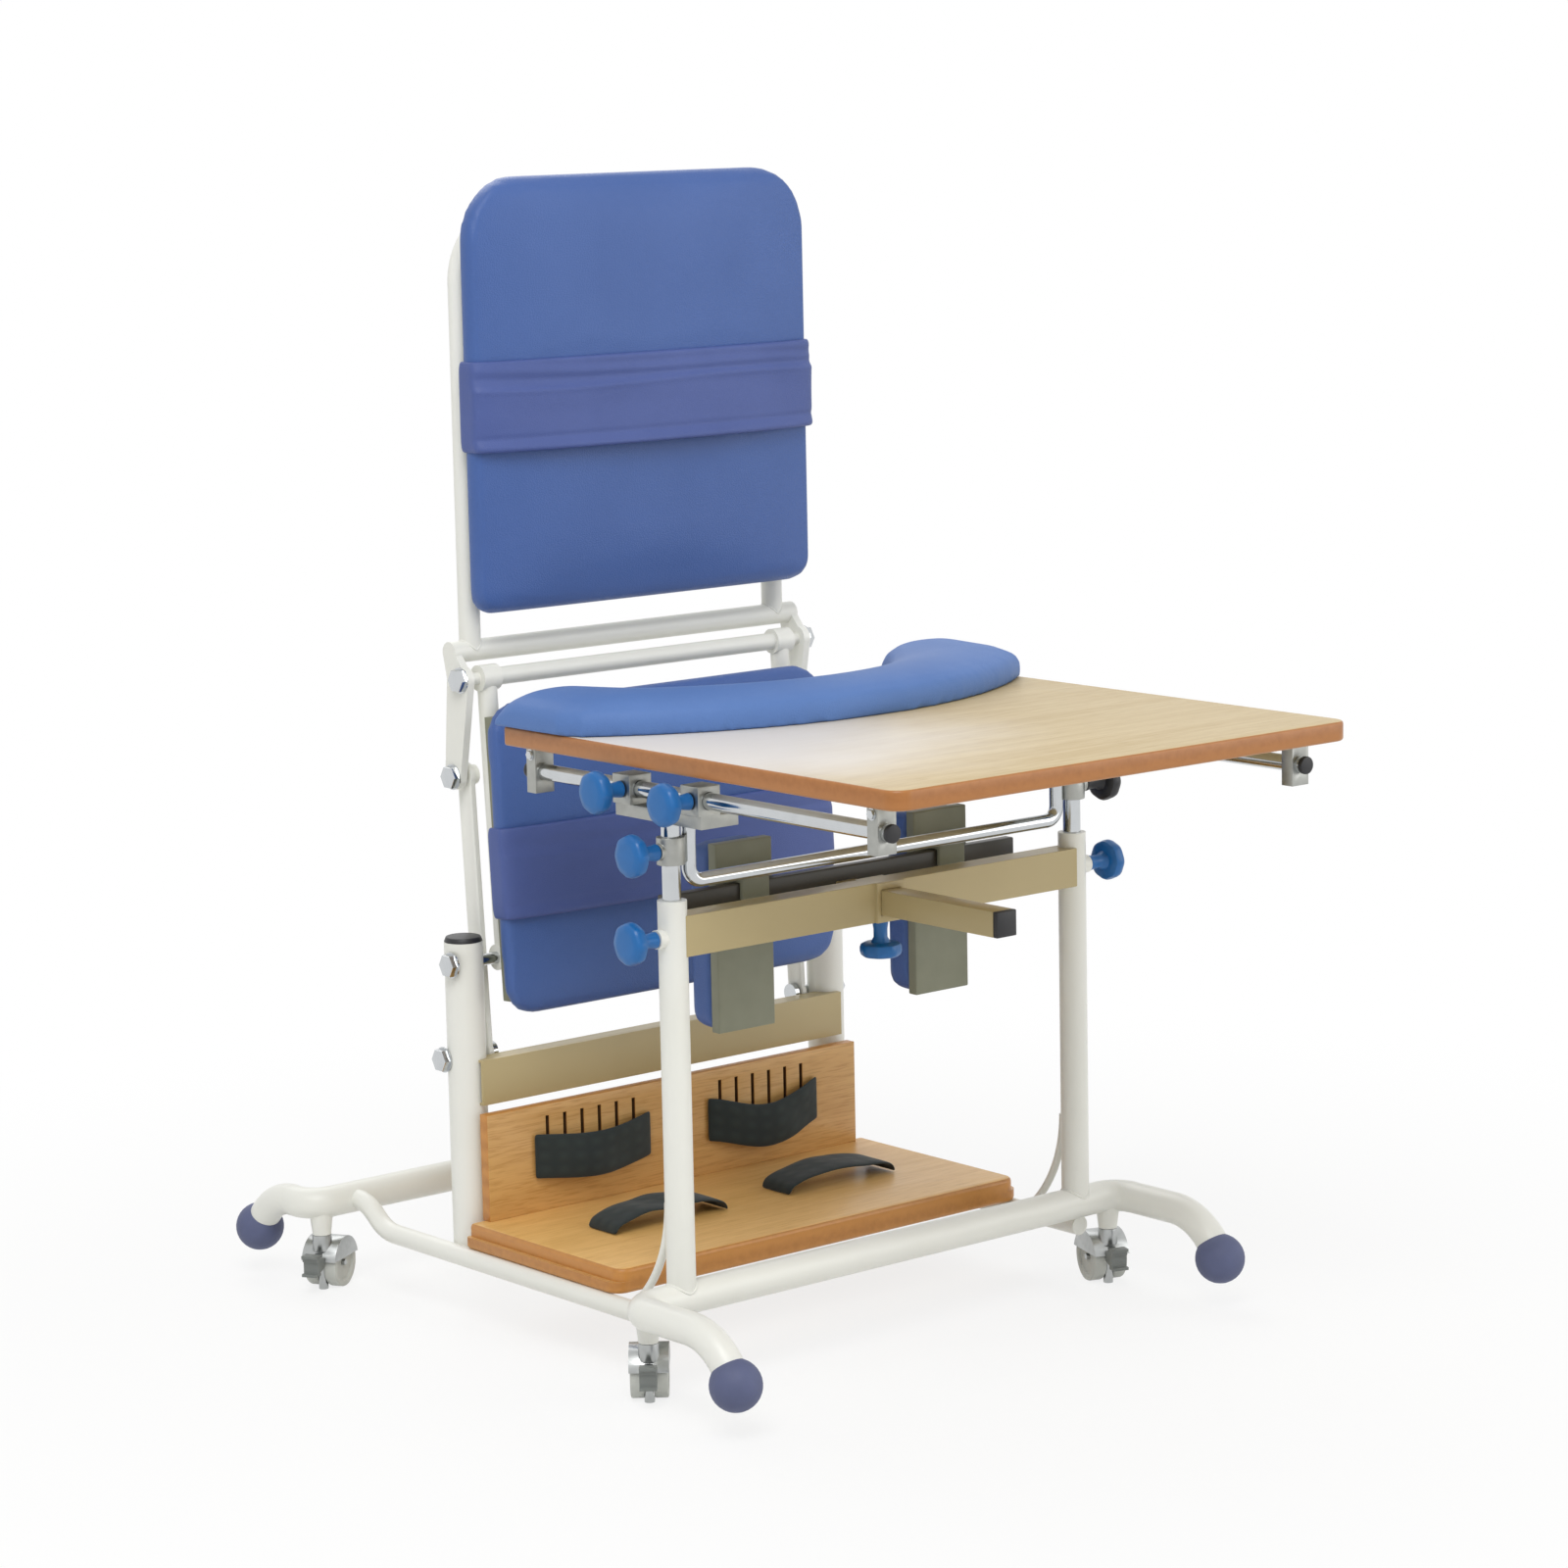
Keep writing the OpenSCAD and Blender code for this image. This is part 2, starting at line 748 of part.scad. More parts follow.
// Webbing straps over the toes and behind the heels
module foot_straps() {
  heel_mid = foot_top + heel_h - heel_drop - strap_w / 2;
  color(strap_black) for (s = [-1, 1]) {
    translate([s * strap_x, toe_y + strap_w / 2, foot_top])
      rotate([90, 0, 0])
        linear_extrude(strap_w) arched_band(strap_span, toe_rise, strap_t);
    translate([s * strap_x, heel_y, heel_mid - strap_w / 2])
      linear_extrude(strap_w)
        mirror([0, 1]) arched_band(strap_span, heel_rise, strap_t);
  }
}

// Pivot bolts through the rear posts, with heads outside and nuts inside
module pivot_pins() {
  head_face = post_out + 0.5;
  color(chrome) pair() {
    for (p = [[seat_pivot_y, seat_pivot_z, eye_in - 1], [link_low_y, link_low_z, link_in - 1]]) {
      xbar(p[2] - 6, head_face, p[0], p[1], pin_r);
      xbar(head_face, head_face + head_bolt_t, p[0], p[1], head_bolt_r);
      xbar(p[2] - 6, p[2], p[0], p[1], head_bolt_r);
    }
  }
}

// Places children in the seat's own frame: lower pivot at the origin, upper pivot on +Z
module on_seat() {
  translate([0, seat_pivot_y, seat_pivot_z]) rotate([-arm_tilt, 0, 0]) children();
}

seat_tube_r = seat_tube_d / 2;

// Seat frame: two side tubes with eyes at both ends and two cross tubes
module seat_frame() {
  color(paint) on_seat() difference() {
    union() {
      pair() translate([seat_tube_x, 0, 0]) cylinder(r = seat_tube_r, h = arm_len);
      pair() for (z = [0, arm_len]) xbar(eye_in, eye_out, 0, z, eye_r);
      xbar(-seat_tube_x, seat_tube_x, 0, eye_r + 14, seat_tube_r - 1);
      xbar(-eye_in - 2, eye_in + 2, 0, arm_len, seat_tube_r - 1);
    }
    pair() xbar(eye_in - 1, eye_out + 1, 0, 0, pin_r + run_gap);
    pair() xbar(blind_in, eye_out + 1, 0, arm_len, pin_r + run_gap);
  }
}

// Seat board, recessed over the lower eyes of the seat frame
module seat_board() {
  color(board_grey) on_seat() difference() {
    block([-seat_board_x, -seat_tube_r - seat_board_t, -seat_pad_low + 14],
      [seat_board_x, -seat_tube_r, -seat_pad_low + seat_pad_h - 14]);
    pair() xbar(eye_in - touch, eye_out + touch, 0, 0, eye_r + touch);
  }
}

module seat_pad() {
  color(vinyl) on_seat()
    translate([0, -seat_tube_r - seat_board_t, -seat_pad_low])
      loft(pad_rings(seat_pad_x, seat_pad_h, seat_pad_t - 4, 4, 34, 34, 16));
}

// Outline of a belt round the front and sides of a pad
function belt_front(w, t, crown, grow_x, grow_y) =
  [for (p = pad_section(w + grow_x, t, crown, 36)) [p[0], p[1] - (p[1] < -t * 0.3 ? grow_y : 0)]];

// Belt round a pad, tucked behind the edges of the board under it
module belt(w, t, crown, board_t, lip, h) {
  depth = board_t + 4;
  linear_extrude(h) difference() {
    union() {
      polygon(belt_front(w, t, crown, 3, 7));
      translate([-w - 3, -2]) square([2 * w + 6, depth + 2]);
    }
    polygon(belt_front(w, t, crown, touch, touch + 0.4));
    translate([-w - touch, -4]) square([2 * w + 2 * touch, board_t + 4]);
    translate([-w + lip, 0]) square([2 * (w - lip), depth + 1]);
  }
}

module hip_belt() {
  color(webbing) on_seat()
    translate([0, -seat_tube_r - seat_board_t, hip_low])
      belt(seat_pad_x, seat_pad_t - 4, 4, seat_board_t, seat_pad_x - seat_tube_x - seat_tube_r - 3, hip_h);
}

back_front = back_y - back_tube_d / 2 - lap_d;

// Back frame: an inverted U of tube closed by a bottom tube
module back_frame() {
  path = [
    [-back_tube_x, back_y, back_low_z], [-back_tube_x, back_y, back_top_z],
    [back_tube_x, back_y, back_top_z], [back_tube_x, back_y, back_low_z]
  ];
  inner = [
    [-back_tube_x, back_y, back_low_z + 6], [-back_tube_x, back_y, back_top_z],
    [back_tube_x, back_y, back_top_z], [back_tube_x, back_y, back_low_z + 6]
  ];
  color(paint) difference() {
    union() {
      bent_bar(path, [back_bend, back_bend], back_tube_d);
      xbar(-lever_in, lever_in, back_y, back_low_z, back_tube_d / 2);
    }
    bent_bar(inner, [back_bend, back_bend], back_tube_d - 4);
    xbar(-lever_in - 1, lever_in + 1, back_y, back_low_z, back_tube_d / 2 - 2);
  }
}

// Lever plates that carry the back frame on the seat, each with its two pivot bolts
module back_levers() {
  color(paint) pair() {
    difference() {
      translate([lever_in, 0, 0]) rotate([90, 0, 90]) linear_extrude(lever_t) union() {
        polygon([
          [upper_y - eye_r, upper_z], [link_top_y - eye_r, link_top_z],
          [link_top_y + eye_r, link_top_z], [upper_y + eye_r + 10, upper_z],
          [back_y + back_tube_d / 2, back_low_z], [back_y, back_low_z + back_tube_d / 2]
        ]);
        translate([upper_y, upper_z]) circle(r = eye_r);
        translate([link_top_y, link_top_z]) circle(r = eye_r);
        translate([back_y, back_low_z]) circle(r = back_tube_d / 2);
      }
    }
    xbar(blind_in + 1, lever_out, upper_y, upper_z, pin_r);
    xbar(link_in - 7, lever_out, link_top_y, link_top_z, pin_r);
    xbar(link_in - 7, link_in - 1, link_top_y, link_top_z, head_bolt_r);
    for (p = [[upper_y, upper_z], [link_top_y, link_top_z]])
      xbar(lever_out, lever_out + head_bolt_t, p[0], p[1], head_bolt_r);
  }
}

module back_board() {
  color(board_grey)
    block([-back_pad_x + 14, back_front - back_board_t, back_pad_z + 14],
      [back_pad_x - 14, back_front, back_pad_z + back_pad_h - 62]);
}

module back_pad() {
  color(vinyl)
    translate([0, back_front - back_board_t, back_pad_z])
      loft(pad_rings(back_pad_x, back_pad_h, back_pad_t - 5, 5, 22, 64, 18));
}

module chest_belt() {
  lip = back_pad_x - back_tube_x - back_tube_d / 2 - 3;
  color(webbing)
    translate([0, back_front - back_board_t, chest_z])
      belt(back_pad_x, back_pad_t - 5, 5, back_board_t, lip, chest_h);
}

// Link bars from the rear posts up to the lever plates
module link_bars() {
  color(paint) pair() difference() {
    translate([link_in, link_low_y, link_low_z]) rotate([-arm_tilt, 0, 0]) union() {
      block([0, -link_w / 2, 0], [link_t, link_w / 2, arm_len]);
      for (z = [0, arm_len]) xbar(0, link_t, 0, z, eye_r);
    }
    xbar(link_in - 1, link_out + 1, link_low_y, link_low_z, pin_r + run_gap);
    xbar(link_in - 1, link_out + 1, link_top_y, link_top_z, pin_r + open_gap);
  }
}

// Column: two telescopic tubes and the cross bar with turned up ends
module column_frame() {
  y = -front_rail_y;
  color(chrome) {
    pair() difference() {
      translate([front_post_x, y, col_low]) cylinder(d = col_d, h = col_top - col_low);
      translate([front_post_x, y, col_low - 1])
        cylinder(d = col_d - 2 * col_wall, h = col_top - col_low - col_wall);
    }
    bent_bar([
      [-bar_up_x, y, col_top], [-bar_up_x, y, col_bar_z],
      [bar_up_x, y, col_bar_z], [bar_up_x, y, col_top]
    ], [14, 14], col_bar_d);
  }
}

// Heads on the column: a clamp collar on each tube, and a carrier with two slide clamps on top of it
module column_heads() {
  y = -front_rail_y;
  color(chrome) pair() difference() {
    union() {
      translate([front_post_x, y, head_z]) cylinder(d = collar_d, h = head_h);
      xbar(front_post_x, head_out, y, head_knob_z, 8);
      block([head_in, -clamp_front - clamp_len / 2, col_top],
        [slide_x + 10, -clamp_rear + clamp_len / 2, carrier_top]);
      for (c = [clamp_front, clamp_rear])
        block([slide_x - 13, -c - clamp_len / 2, carrier_top],
          [slide_x + 13, -c + clamp_len / 2, clamp_top]);
    }
    translate([front_post_x, y, head_z - 1]) cylinder(d = col_d, h = col_top - head_z + 1);
    ybar(-clamp_front - clamp_len, -clamp_rear + clamp_len, slide_x, slide_z,
      slide_d / 2 + slide_gap);
    xbar(front_post_x + col_d / 2 - 1, head_out + 1, y, head_knob_z, screw_d / 2 + run_gap);
    for (c = [clamp_front, clamp_rear])
      xbar(slide_x, slide_x + 14, -c, slide_z, screw_d / 2 + run_gap);
  }
}

// Rounded outline of the tray with the body cut-out at its rear edge
module tray_outline() {
  difference() {
    union() {
      translate([-tray_w / 2, -tray_front + tray_corner])
        square([tray_w, tray_front + tray_rear - tray_corner]);
      translate([-tray_w / 2 + tray_corner, -tray_front])
        square([tray_w - 2 * tray_corner, tray_corner + 1]);
      for (s = [-1, 1])
        translate([s * (tray_w / 2 - tray_corner), -tray_front + tray_corner])
          circle(r = tray_corner);
    }
    translate([0, cut_y]) circle(r = cut_r, $fn = 128);
  }
}

module tray_board() {
  color(oak) translate([0, 0, tray_z - tray_t]) linear_extrude(tray_t) tray_outline();
}

pad_turn = 66;
pad_wide = tray_w / 2 + 6;
pad_arc_r = 450;
pad_round = 0.75;
pad_foot = pow(sin(12), pad_round);
pad_arc_y = cut_y + 135;
pad_arc_turn = asin(pad_wide / pad_arc_r);
pad_side_y = pad_arc_y - pad_arc_r * cos(pad_arc_turn);

// Inner edge of the tray pad along the cut-out
function pad_inner(t) = [(cut_r - 4) * sin(pad_turn * t), cut_y - (cut_r - 4) * cos(pad_turn * t)];

// Outer edge of the tray pad: an arc across the tray and a straight run along each side
function pad_outer(t) =
  abs(t) < 0.62
    ? [pad_arc_r * sin(pad_arc_turn * t / 0.62), pad_arc_y - pad_arc_r * cos(pad_arc_turn * t / 0.62)]
    : [sign(t) * pad_wide, pad_side_y + (abs(t) - 0.62) / 0.38 * (tray_rear + 8 - pad_side_y)];

// Crescent cushion round the body cut-out of the tray
module tray_pad() {
  k = 16;
  ts = concat([-1, -0.985, -0.95, -0.9], [for (i = [-10:10]) i * 0.085], [0.9, 0.95, 0.985, 1]);
  rings = [for (t = ts)
    let (
      a = pad_inner(t),
      b = pad_outer(t),
      f = abs(t) > 0.88 ? sqrt(max(0.05, 1 - pow((abs(t) - 0.88) / 0.125, 2))) : 1
    )
    [for (i = [0:k])
      let (
        g = -12 + 204 * i / k,
        u = 0.5 + 0.5 * power(cos(g), pad_round),
        h = tray_pad_h * f * (power(sin(g), pad_round) + pad_foot) / (1 + pad_foot)
      )
      [b[0] + (a[0] - b[0]) * u, b[1] + (a[1] - b[1]) * u, tray_z + h]]];
  color(vinyl) loft(rings);
}

module slide_tubes() {
  color(chrome) pair() difference() {
    ybar(-slide_front, slide_rear, slide_x, slide_z, slide_d / 2);
    ybar(-slide_front - 1, slide_rear + 1, slide_x, slide_z, slide_d / 2 - 1.5);
  }
}

module slide_caps() {
  color(plug_black) pair() {
    ybar(-slide_front - 5, -slide_front, slide_x, slide_z, slide_d / 2 + 0.5);
    ybar(-slide_front, -slide_front + 8, slide_x, slide_z, slide_d / 2 - 1.5);
    ybar(slide_rear, slide_rear + 5, slide_x, slide_z, slide_d / 2 + 0.5);
    ybar(slide_rear - 8, slide_rear, slide_x, slide_z, slide_d / 2 - 1.5);
  }
}

// Brackets that hang the slide tubes under the tray, wide enough to reach in under it
module tray_hangers() {
  inner = min(slide_x - hanger_w / 2, tray_w / 2 - hanger_w);
  color(chrome) pair() for (y = [-slide_front + 4, slide_rear - 18]) difference() {
    block([inner, y, slide_z - 20], [slide_x + hanger_w / 2, y + 14, tray_z - tray_t]);
    ybar(y - 1, y + 15, slide_x, slide_z, slide_d / 2);
  }
}

module knee_arm() {
  h = arm_w / 2;
  color(paint) difference() {
    block([-h, -arm_front, arm_z - h], [h, -knee_bar_y, arm_z + h]);
    block([-h + arm_wall, -arm_front - 1, arm_z - h + arm_wall],
      [h - arm_wall, -knee_bar_y + 1, arm_z + h - arm_wall]);
  }
}

module knee_plug() {
  h = arm_w / 2;
  color(plug_black) {
    block([-h, -arm_front - 6, arm_z - h], [h, -arm_front, arm_z + h]);
    block([-h + arm_wall, -arm_front, arm_z - h + arm_wall],
      [h - arm_wall, -arm_front + 10, arm_z + h - arm_wall]);
  }
}

module knee_bar() {
  color(board_grey)
    block([-knee_bar_x, -knee_bar_y, knee_bar_z - knee_bar_h / 2],
      [knee_bar_x, -knee_bar_y + knee_bar_t, knee_bar_z + knee_bar_h / 2]);
}

// Place of a knee pad along the bar, by its side
function knee_at(side) = side < 0 ? -knee_left_x : knee_right_x;

// Knee board with a hook over the knee bar
module knee_board(side) {
  x0 = knee_at(side) - knee_w / 2;
  x1 = knee_at(side) + knee_w / 2;
  top = knee_bar_z + knee_bar_h / 2 + touch;
  lip = -knee_bar_y - touch;
  color(board_grey) union() {
    block([x0, knee_face, knee_low], [x1, knee_face + knee_board_t, knee_low + knee_h]);
    block([x0 + 18, lip - 5, top], [x1 - 18, knee_face, top + 5]);
    block([x0 + 18, lip - 5, top - 16], [x1 - 18, lip, top]);
  }
}

module knee_pad(side) {
  color(vinyl)
    translate([knee_at(side), knee_face + knee_board_t, knee_low])
      mirror([0, 1, 0])
        loft(pad_rings(knee_w / 2, knee_h, knee_pad_t - 4, 4, 16, 16, 14, 24));
}

module knee_board_l() {
  knee_board(-1);
}

module knee_pad_l() {
  knee_pad(-1);
}

module knee_board_r() {
  knee_board(1);
}

module knee_pad_r() {
  knee_pad(1);
}

axle_z = wheel_d / 2;
nose = trail - hood_r - 4;
pedal_pin_r = 2.5;

// Places children at a caster: stem on the local Z axis, wheels behind it at +Y
module at_caster(x, y, turn) {
  translate([x, y, 0]) rotate([0, 0, turn]) children();
}

// Caster fork: stem, hood over both wheels, web with the axle and a nose for the brake pedal
module fork(x, y, turn) {
  hood_top = axle_z + hood_r;
  color(chrome) at_caster(x, y, turn) {
    difference() {
      union() {
        cylinder(d = stem_d, h = rail_z - rail_r - 4);
        translate([0, 0, hood_top - 12]) cylinder(d = stem_d + 10, h = boss_z - touch - hood_top + 12);
        intersection() {
          xbar(-hood_w / 2, hood_w / 2, trail, axle_z, hood_r);
          block([-hood_w, trail - hood_r, axle_z + 6], [hood_w, trail + hood_r, hood_top]);
        }
        xbar(-web_t / 2, web_t / 2, trail, axle_z, wheel_d / 2 - 6);
        block([-web_t / 2, nose - 4, axle_z], [web_t / 2, trail, axle_z + 14]);
      }
      for (s = [-1, 1])
        xbar(min(s * web_t / 2, s * (web_t / 2 + wheel_w + 0.6)),
          max(s * web_t / 2, s * (web_t / 2 + wheel_w + 0.6)), trail, axle_z, wheel_d / 2 + 1);
      xbar(-web_t, web_t, nose + 1, axle_z + 7, pedal_pin_r + run_gap);
    }
    xbar(-hood_w / 2 + 1, hood_w / 2 - 1, trail, axle_z, axle_d / 2);
  }
}

// Pair of wheels on the axle
module wheels(x, y, turn) {
  color(wheel_grey) at_caster(x, y, turn)
    for (s = [-1, 1]) difference() {
      xbar(min(s * (web_t / 2 + 0.5), s * (web_t / 2 + wheel_w)),
        max(s * (web_t / 2 + 0.5), s * (web_t / 2 + wheel_w)), trail, axle_z, wheel_d / 2);
      xbar(-hood_w, hood_w, trail, axle_z, axle_d / 2 + run_gap);
      xbar(s > 0 ? web_t / 2 + wheel_w - 3 : -hood_w, s > 0 ? hood_w : -web_t / 2 - wheel_w + 3,
        trail, axle_z, wheel_d / 2 - 7);
    }
}

// Rocking brake pedal with an upper and a lower tread
module pedal(x, y, turn) {
  pin_z = axle_z + 7;
  ear = web_t / 2 + touch;
  color(plug_black) at_caster(x, y, turn) {
    xbar(-ear - 4, ear + 4, nose + 1, pin_z, pedal_pin_r);
    for (s = [-1, 1])
      translate([s > 0 ? ear : -ear - 4, 0, 0])
        rotate([90, 0, 90]) linear_extrude(4)
          polygon([
            [nose + 3, pin_z + 5], [nose + 3, pin_z - 6],
            [nose - 8, pin_z - 9], [nose - 8, pin_z + 7]
          ]);
    block([-ear - 4, nose - 14, pin_z + 3], [ear + 4, nose - 8, pin_z + 7]);
    block([-ear - 4, nose - 17, pin_z + 7], [ear + 4, nose - 6, pin_z + 10]);
    block([-ear - 4, nose - 17, pin_z - 12], [ear + 4, nose - 6, pin_z - 9]);
    block([-ear - 4, nose - 12, pin_z - 9], [ear + 4, nose - 8, pin_z + 7]);
  }
}

module fork_fl() {
  fork(-caster_x, front_caster_y, turn_fl);
}

module wheels_fl() {
  wheels(-caster_x, front_caster_y, turn_fl);
}

module pedal_fl() {
  pedal(-caster_x, front_caster_y, turn_fl);
}

module fork_fr() {
  fork(caster_x, front_caster_y, turn_fr);
}

module wheels_fr() {
  wheels(caster_x, front_caster_y, turn_fr);
}

module pedal_fr() {
  pedal(caster_x, front_caster_y, turn_fr);
}

module fork_rl() {
  fork(-caster_x, rear_caster_y, turn_rl);
}

module wheels_rl() {
  wheels(-caster_x, rear_caster_y, turn_rl);
}

module pedal_rl() {
  pedal(-caster_x, rear_caster_y, turn_rl);
}

module fork_rr() {
  fork(caster_x, rear_caster_y, turn_rr);
}

module wheels_rr() {
  wheels(caster_x, rear_caster_y, turn_rr);
}

module pedal_rr() {
  pedal(caster_x, rear_caster_y, turn_rr);
}

// Disc hand knob on a screw; the screw points down and the knob's neck stands on Z = 0
module hand_knob(reach, tone = knob_blue) {
  rim = 3;
  color(tone) {
    cylinder(d = knob_neck, h = knob_h - knob_t + 1);
    translate([0, 0, knob_h - knob_t]) {
      cylinder(d1 = knob_d - 2 * rim, d2 = knob_d, h = rim);
      translate([0, 0, rim]) cylinder(d = knob_d, h = knob_t - 2 * rim);
      translate([0, 0, knob_t - rim]) cylinder(d1 = knob_d, d2 = knob_d - 2 * rim, h = rim);
    }
    translate([0, 0, -reach]) cylinder(d = screw_d, h = reach + 1);
  }
}

// Knob on a screw along X, outboard of a face
module side_knob(side, face, y, z, reach, tone = knob_blue) {
  translate([side * face, y, z]) rotate([0, side * 90, 0]) hand_knob(reach, tone);
}

post_knob_face = front_post_x + front_post_d / 2 + 6 + 1;
post_knob_reach = post_knob_face - front_post_x - col_d / 2 - touch;
head_knob_reach = head_out + 1 - front_post_x - col_d / 2 - touch;
slide_knob_face = slide_x + 13 + 1;
slide_knob_reach = slide_knob_face - slide_x - slide_d / 2 - touch;
knee_knob_face = beam_z - beam_h / 2 - 1;
knee_knob_reach = arm_z - arm_w / 2 - touch - knee_knob_face;

module knob_post_l() {
  side_knob(-1, post_knob_face, -front_rail_y, post_knob_z, post_knob_reach);
}

module knob_post_r() {
  side_knob(1, post_knob_face, -front_rail_y, post_knob_z, post_knob_reach);
}

module knob_head_l() {
  side_knob(-1, head_out + 1, -front_rail_y, head_knob_z, head_knob_reach);
}

module knob_head_r() {
  side_knob(1, head_out + 1, -front_rail_y, head_knob_z, head_knob_reach, plug_black);
}

module knob_slide_lf() {
  side_knob(-1, slide_knob_face, -clamp_front, slide_z, slide_knob_reach);
}

module knob_slide_lr() {
  side_knob(-1, slide_knob_face, -clamp_rear, slide_z, slide_knob_reach);
}

module knob_slide_rf() {
  side_knob(1, slide_knob_face, -clamp_front, slide_z, slide_knob_reach);
}

module knob_slide_rr() {
  side_knob(1, slide_knob_face, -clamp_rear, slide_z, slide_knob_reach);
}

module knob_knee() {
  translate([0, -front_rail_y, knee_knob_face]) rotate([180, 0, 0]) hand_knob(knee_knob_reach);
}

front_rail();
rear_rail();
ball_feet();
side_rails();
rear_posts();
post_caps();
rear_cross_bar();
front_posts();
front_beam();
front_braces();
foot_base();
foot_board();
heel_panel();
foot_straps();
pivot_pins();
seat_frame();
seat_board();
seat_pad();
hip_belt();
back_frame();
back_levers();
back_board();
back_pad();
chest_belt();
link_bars();
column_frame();
column_heads();
tray_board();
tray_pad();
slide_tubes();
slide_caps();
tray_hangers();
knee_arm();
knee_plug();
knee_bar();
knee_board_l();
knee_pad_l();
knee_board_r();
knee_pad_r();
fork_fl();
wheels_fl();
pedal_fl();
fork_fr();
wheels_fr();
pedal_fr();
fork_rl();
wheels_rl();
pedal_rl();
fork_rr();
wheels_rr();
pedal_rr();
knob_post_l();
knob_post_r();
knob_head_l();
knob_head_r();
knob_slide_lf();
knob_slide_lr();
knob_slide_rf();
knob_slide_rr();
knob_knee();
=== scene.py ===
"""Standing frame: finishes, cushions, belts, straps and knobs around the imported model, and a plain studio."""
import json
import logging
import math
from dataclasses import dataclass, field
from enum import Enum
from typing import Iterable, Sequence

import bmesh
import bpy
from bmesh.types import BMEdge, BMesh, BMVert
from bpy.types import ID, Material, Mesh, Node, NodeSocket, NodeTree, Object
from mathutils import Matrix, Vector, noise


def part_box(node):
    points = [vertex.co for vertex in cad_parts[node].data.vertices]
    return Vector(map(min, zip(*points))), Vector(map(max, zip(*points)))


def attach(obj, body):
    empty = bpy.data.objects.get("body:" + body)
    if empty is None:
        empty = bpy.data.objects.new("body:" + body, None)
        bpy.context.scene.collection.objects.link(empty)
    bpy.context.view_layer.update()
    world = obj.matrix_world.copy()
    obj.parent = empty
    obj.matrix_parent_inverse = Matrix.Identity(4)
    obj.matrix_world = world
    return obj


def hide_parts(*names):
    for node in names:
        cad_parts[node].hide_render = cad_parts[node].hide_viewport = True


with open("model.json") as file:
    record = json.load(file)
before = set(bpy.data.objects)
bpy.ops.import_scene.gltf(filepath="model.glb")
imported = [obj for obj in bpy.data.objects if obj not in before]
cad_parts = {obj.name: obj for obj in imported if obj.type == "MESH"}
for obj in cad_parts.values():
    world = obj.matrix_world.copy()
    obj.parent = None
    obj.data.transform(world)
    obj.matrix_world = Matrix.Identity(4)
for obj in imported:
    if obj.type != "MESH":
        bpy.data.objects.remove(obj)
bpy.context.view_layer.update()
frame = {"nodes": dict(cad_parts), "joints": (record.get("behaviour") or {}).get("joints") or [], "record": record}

LOG = logging.getLogger("standing_frame")
MM = 0.001
MERGE = 0.02 * MM
CREASE = 35.0
ALL_SMOOTH = 180.0
WAVE_BANDS = 20
BOTH_SIDES = (-1, 1)
RIGHT, REAR, FRONT, UP = (Vector(v) for v in ((1, 0, 0), (0, 1, 0), (0, -1, 0), (0, 0, 1)))
WHITE = (1.0, 1.0, 1.0, 1.0)
Inputs = dict[str, NodeSocket | float]


class Slot(str, Enum):
    """Material slots of the record."""

    PAINT = "paint"
    RUBBER = "rubber"
    PLUG = "plug"
    PLY = "ply"
    STRAP = "strap"
    CHROME = "chrome"
    CLAMP = "clamp"
    BOARD = "board"
    BAR = "bar"
    VINYL = "vinyl"
    WEBBING = "webbing"
    OAK = "oak"
    FORK = "fork"
    WHEEL = "wheel"
    PEDAL = "pedal"
    KNOB = "knob"
    KNOB_BLACK = "knob_black"


def linear(code: str) -> tuple[float, float, float, float]:
    """Turns an sRGB colour such as "#F0F0EA" into linear red, green and blue with an alpha of 1."""
    shares = [int(code[i:i + 2], 16) / 255 for i in (1, 3, 5)]
    red, green, blue = (c / 12.92 if c <= 0.04045 else ((c + 0.055) / 1.055) ** 2.4 for c in shares)
    return red, green, blue, 1.0


def feed(node: Node, sockets: dict) -> Node:
    """Sets inputs of a node, named or numbered, to values or links them to outputs, and returns it."""
    for name, value in sockets.items():
        if isinstance(value, NodeSocket):
            node.id_data.links.new(value, node.inputs[name])
        else:
            node.inputs[name].default_value = value
    return node


def wire(tree: NodeTree, kind: str, settings: dict | None = None, sockets: dict | None = None) -> Node:
    """Adds a shader node with its settings and links.

    Args:
        tree: Node tree to add to.
        kind: Blender's name of the node type, without its first word.
        settings: Attributes to set on the node.
        sockets: Inputs to set or link, as feed says.

    Returns:
        The new node.
    """
    made = tree.nodes.new(f"ShaderNode{kind}")
    for name, value in (settings or {}).items():
        setattr(made, name, value)
    return feed(made, sockets or {})


def per_mm(size: float) -> float:
    """Texture scale at which one feature measures the given millimetres."""
    return 1 / (size * MM)


def place_on(tree: NodeTree, source: str = "Object") -> NodeSocket:
    """Returns texture coordinates, from the model's own frame or from a piece's UV map."""
    return wire(tree, "TexCoord").outputs[source]


def speckle(tree: NodeTree, place: NodeSocket, size: float, detail: float,
            distortion: float = 0.0) -> NodeSocket:
    """Adds noise with flecks of a size in millimetres and returns its value from 0 to 1."""
    sockets = {"Vector": place, "Scale": per_mm(size), "Detail": detail, "Distortion": distortion}
    return wire(tree, "TexNoise", None, sockets).outputs[0]


def bands(tree: NodeTree, place: NodeSocket, direction: str, size: float, distortion: float,
          detail_scale: float = 1.0) -> NodeSocket:
    """Adds waves of a length in millimetres along an axis and returns their value from 0 to 1."""
    sockets = {"Vector": place, "Scale": per_mm(size) / WAVE_BANDS, "Distortion": distortion,
               "Detail Scale": detail_scale}
    return wire(tree, "TexWave", {"bands_direction": direction}, sockets).outputs["Fac"]


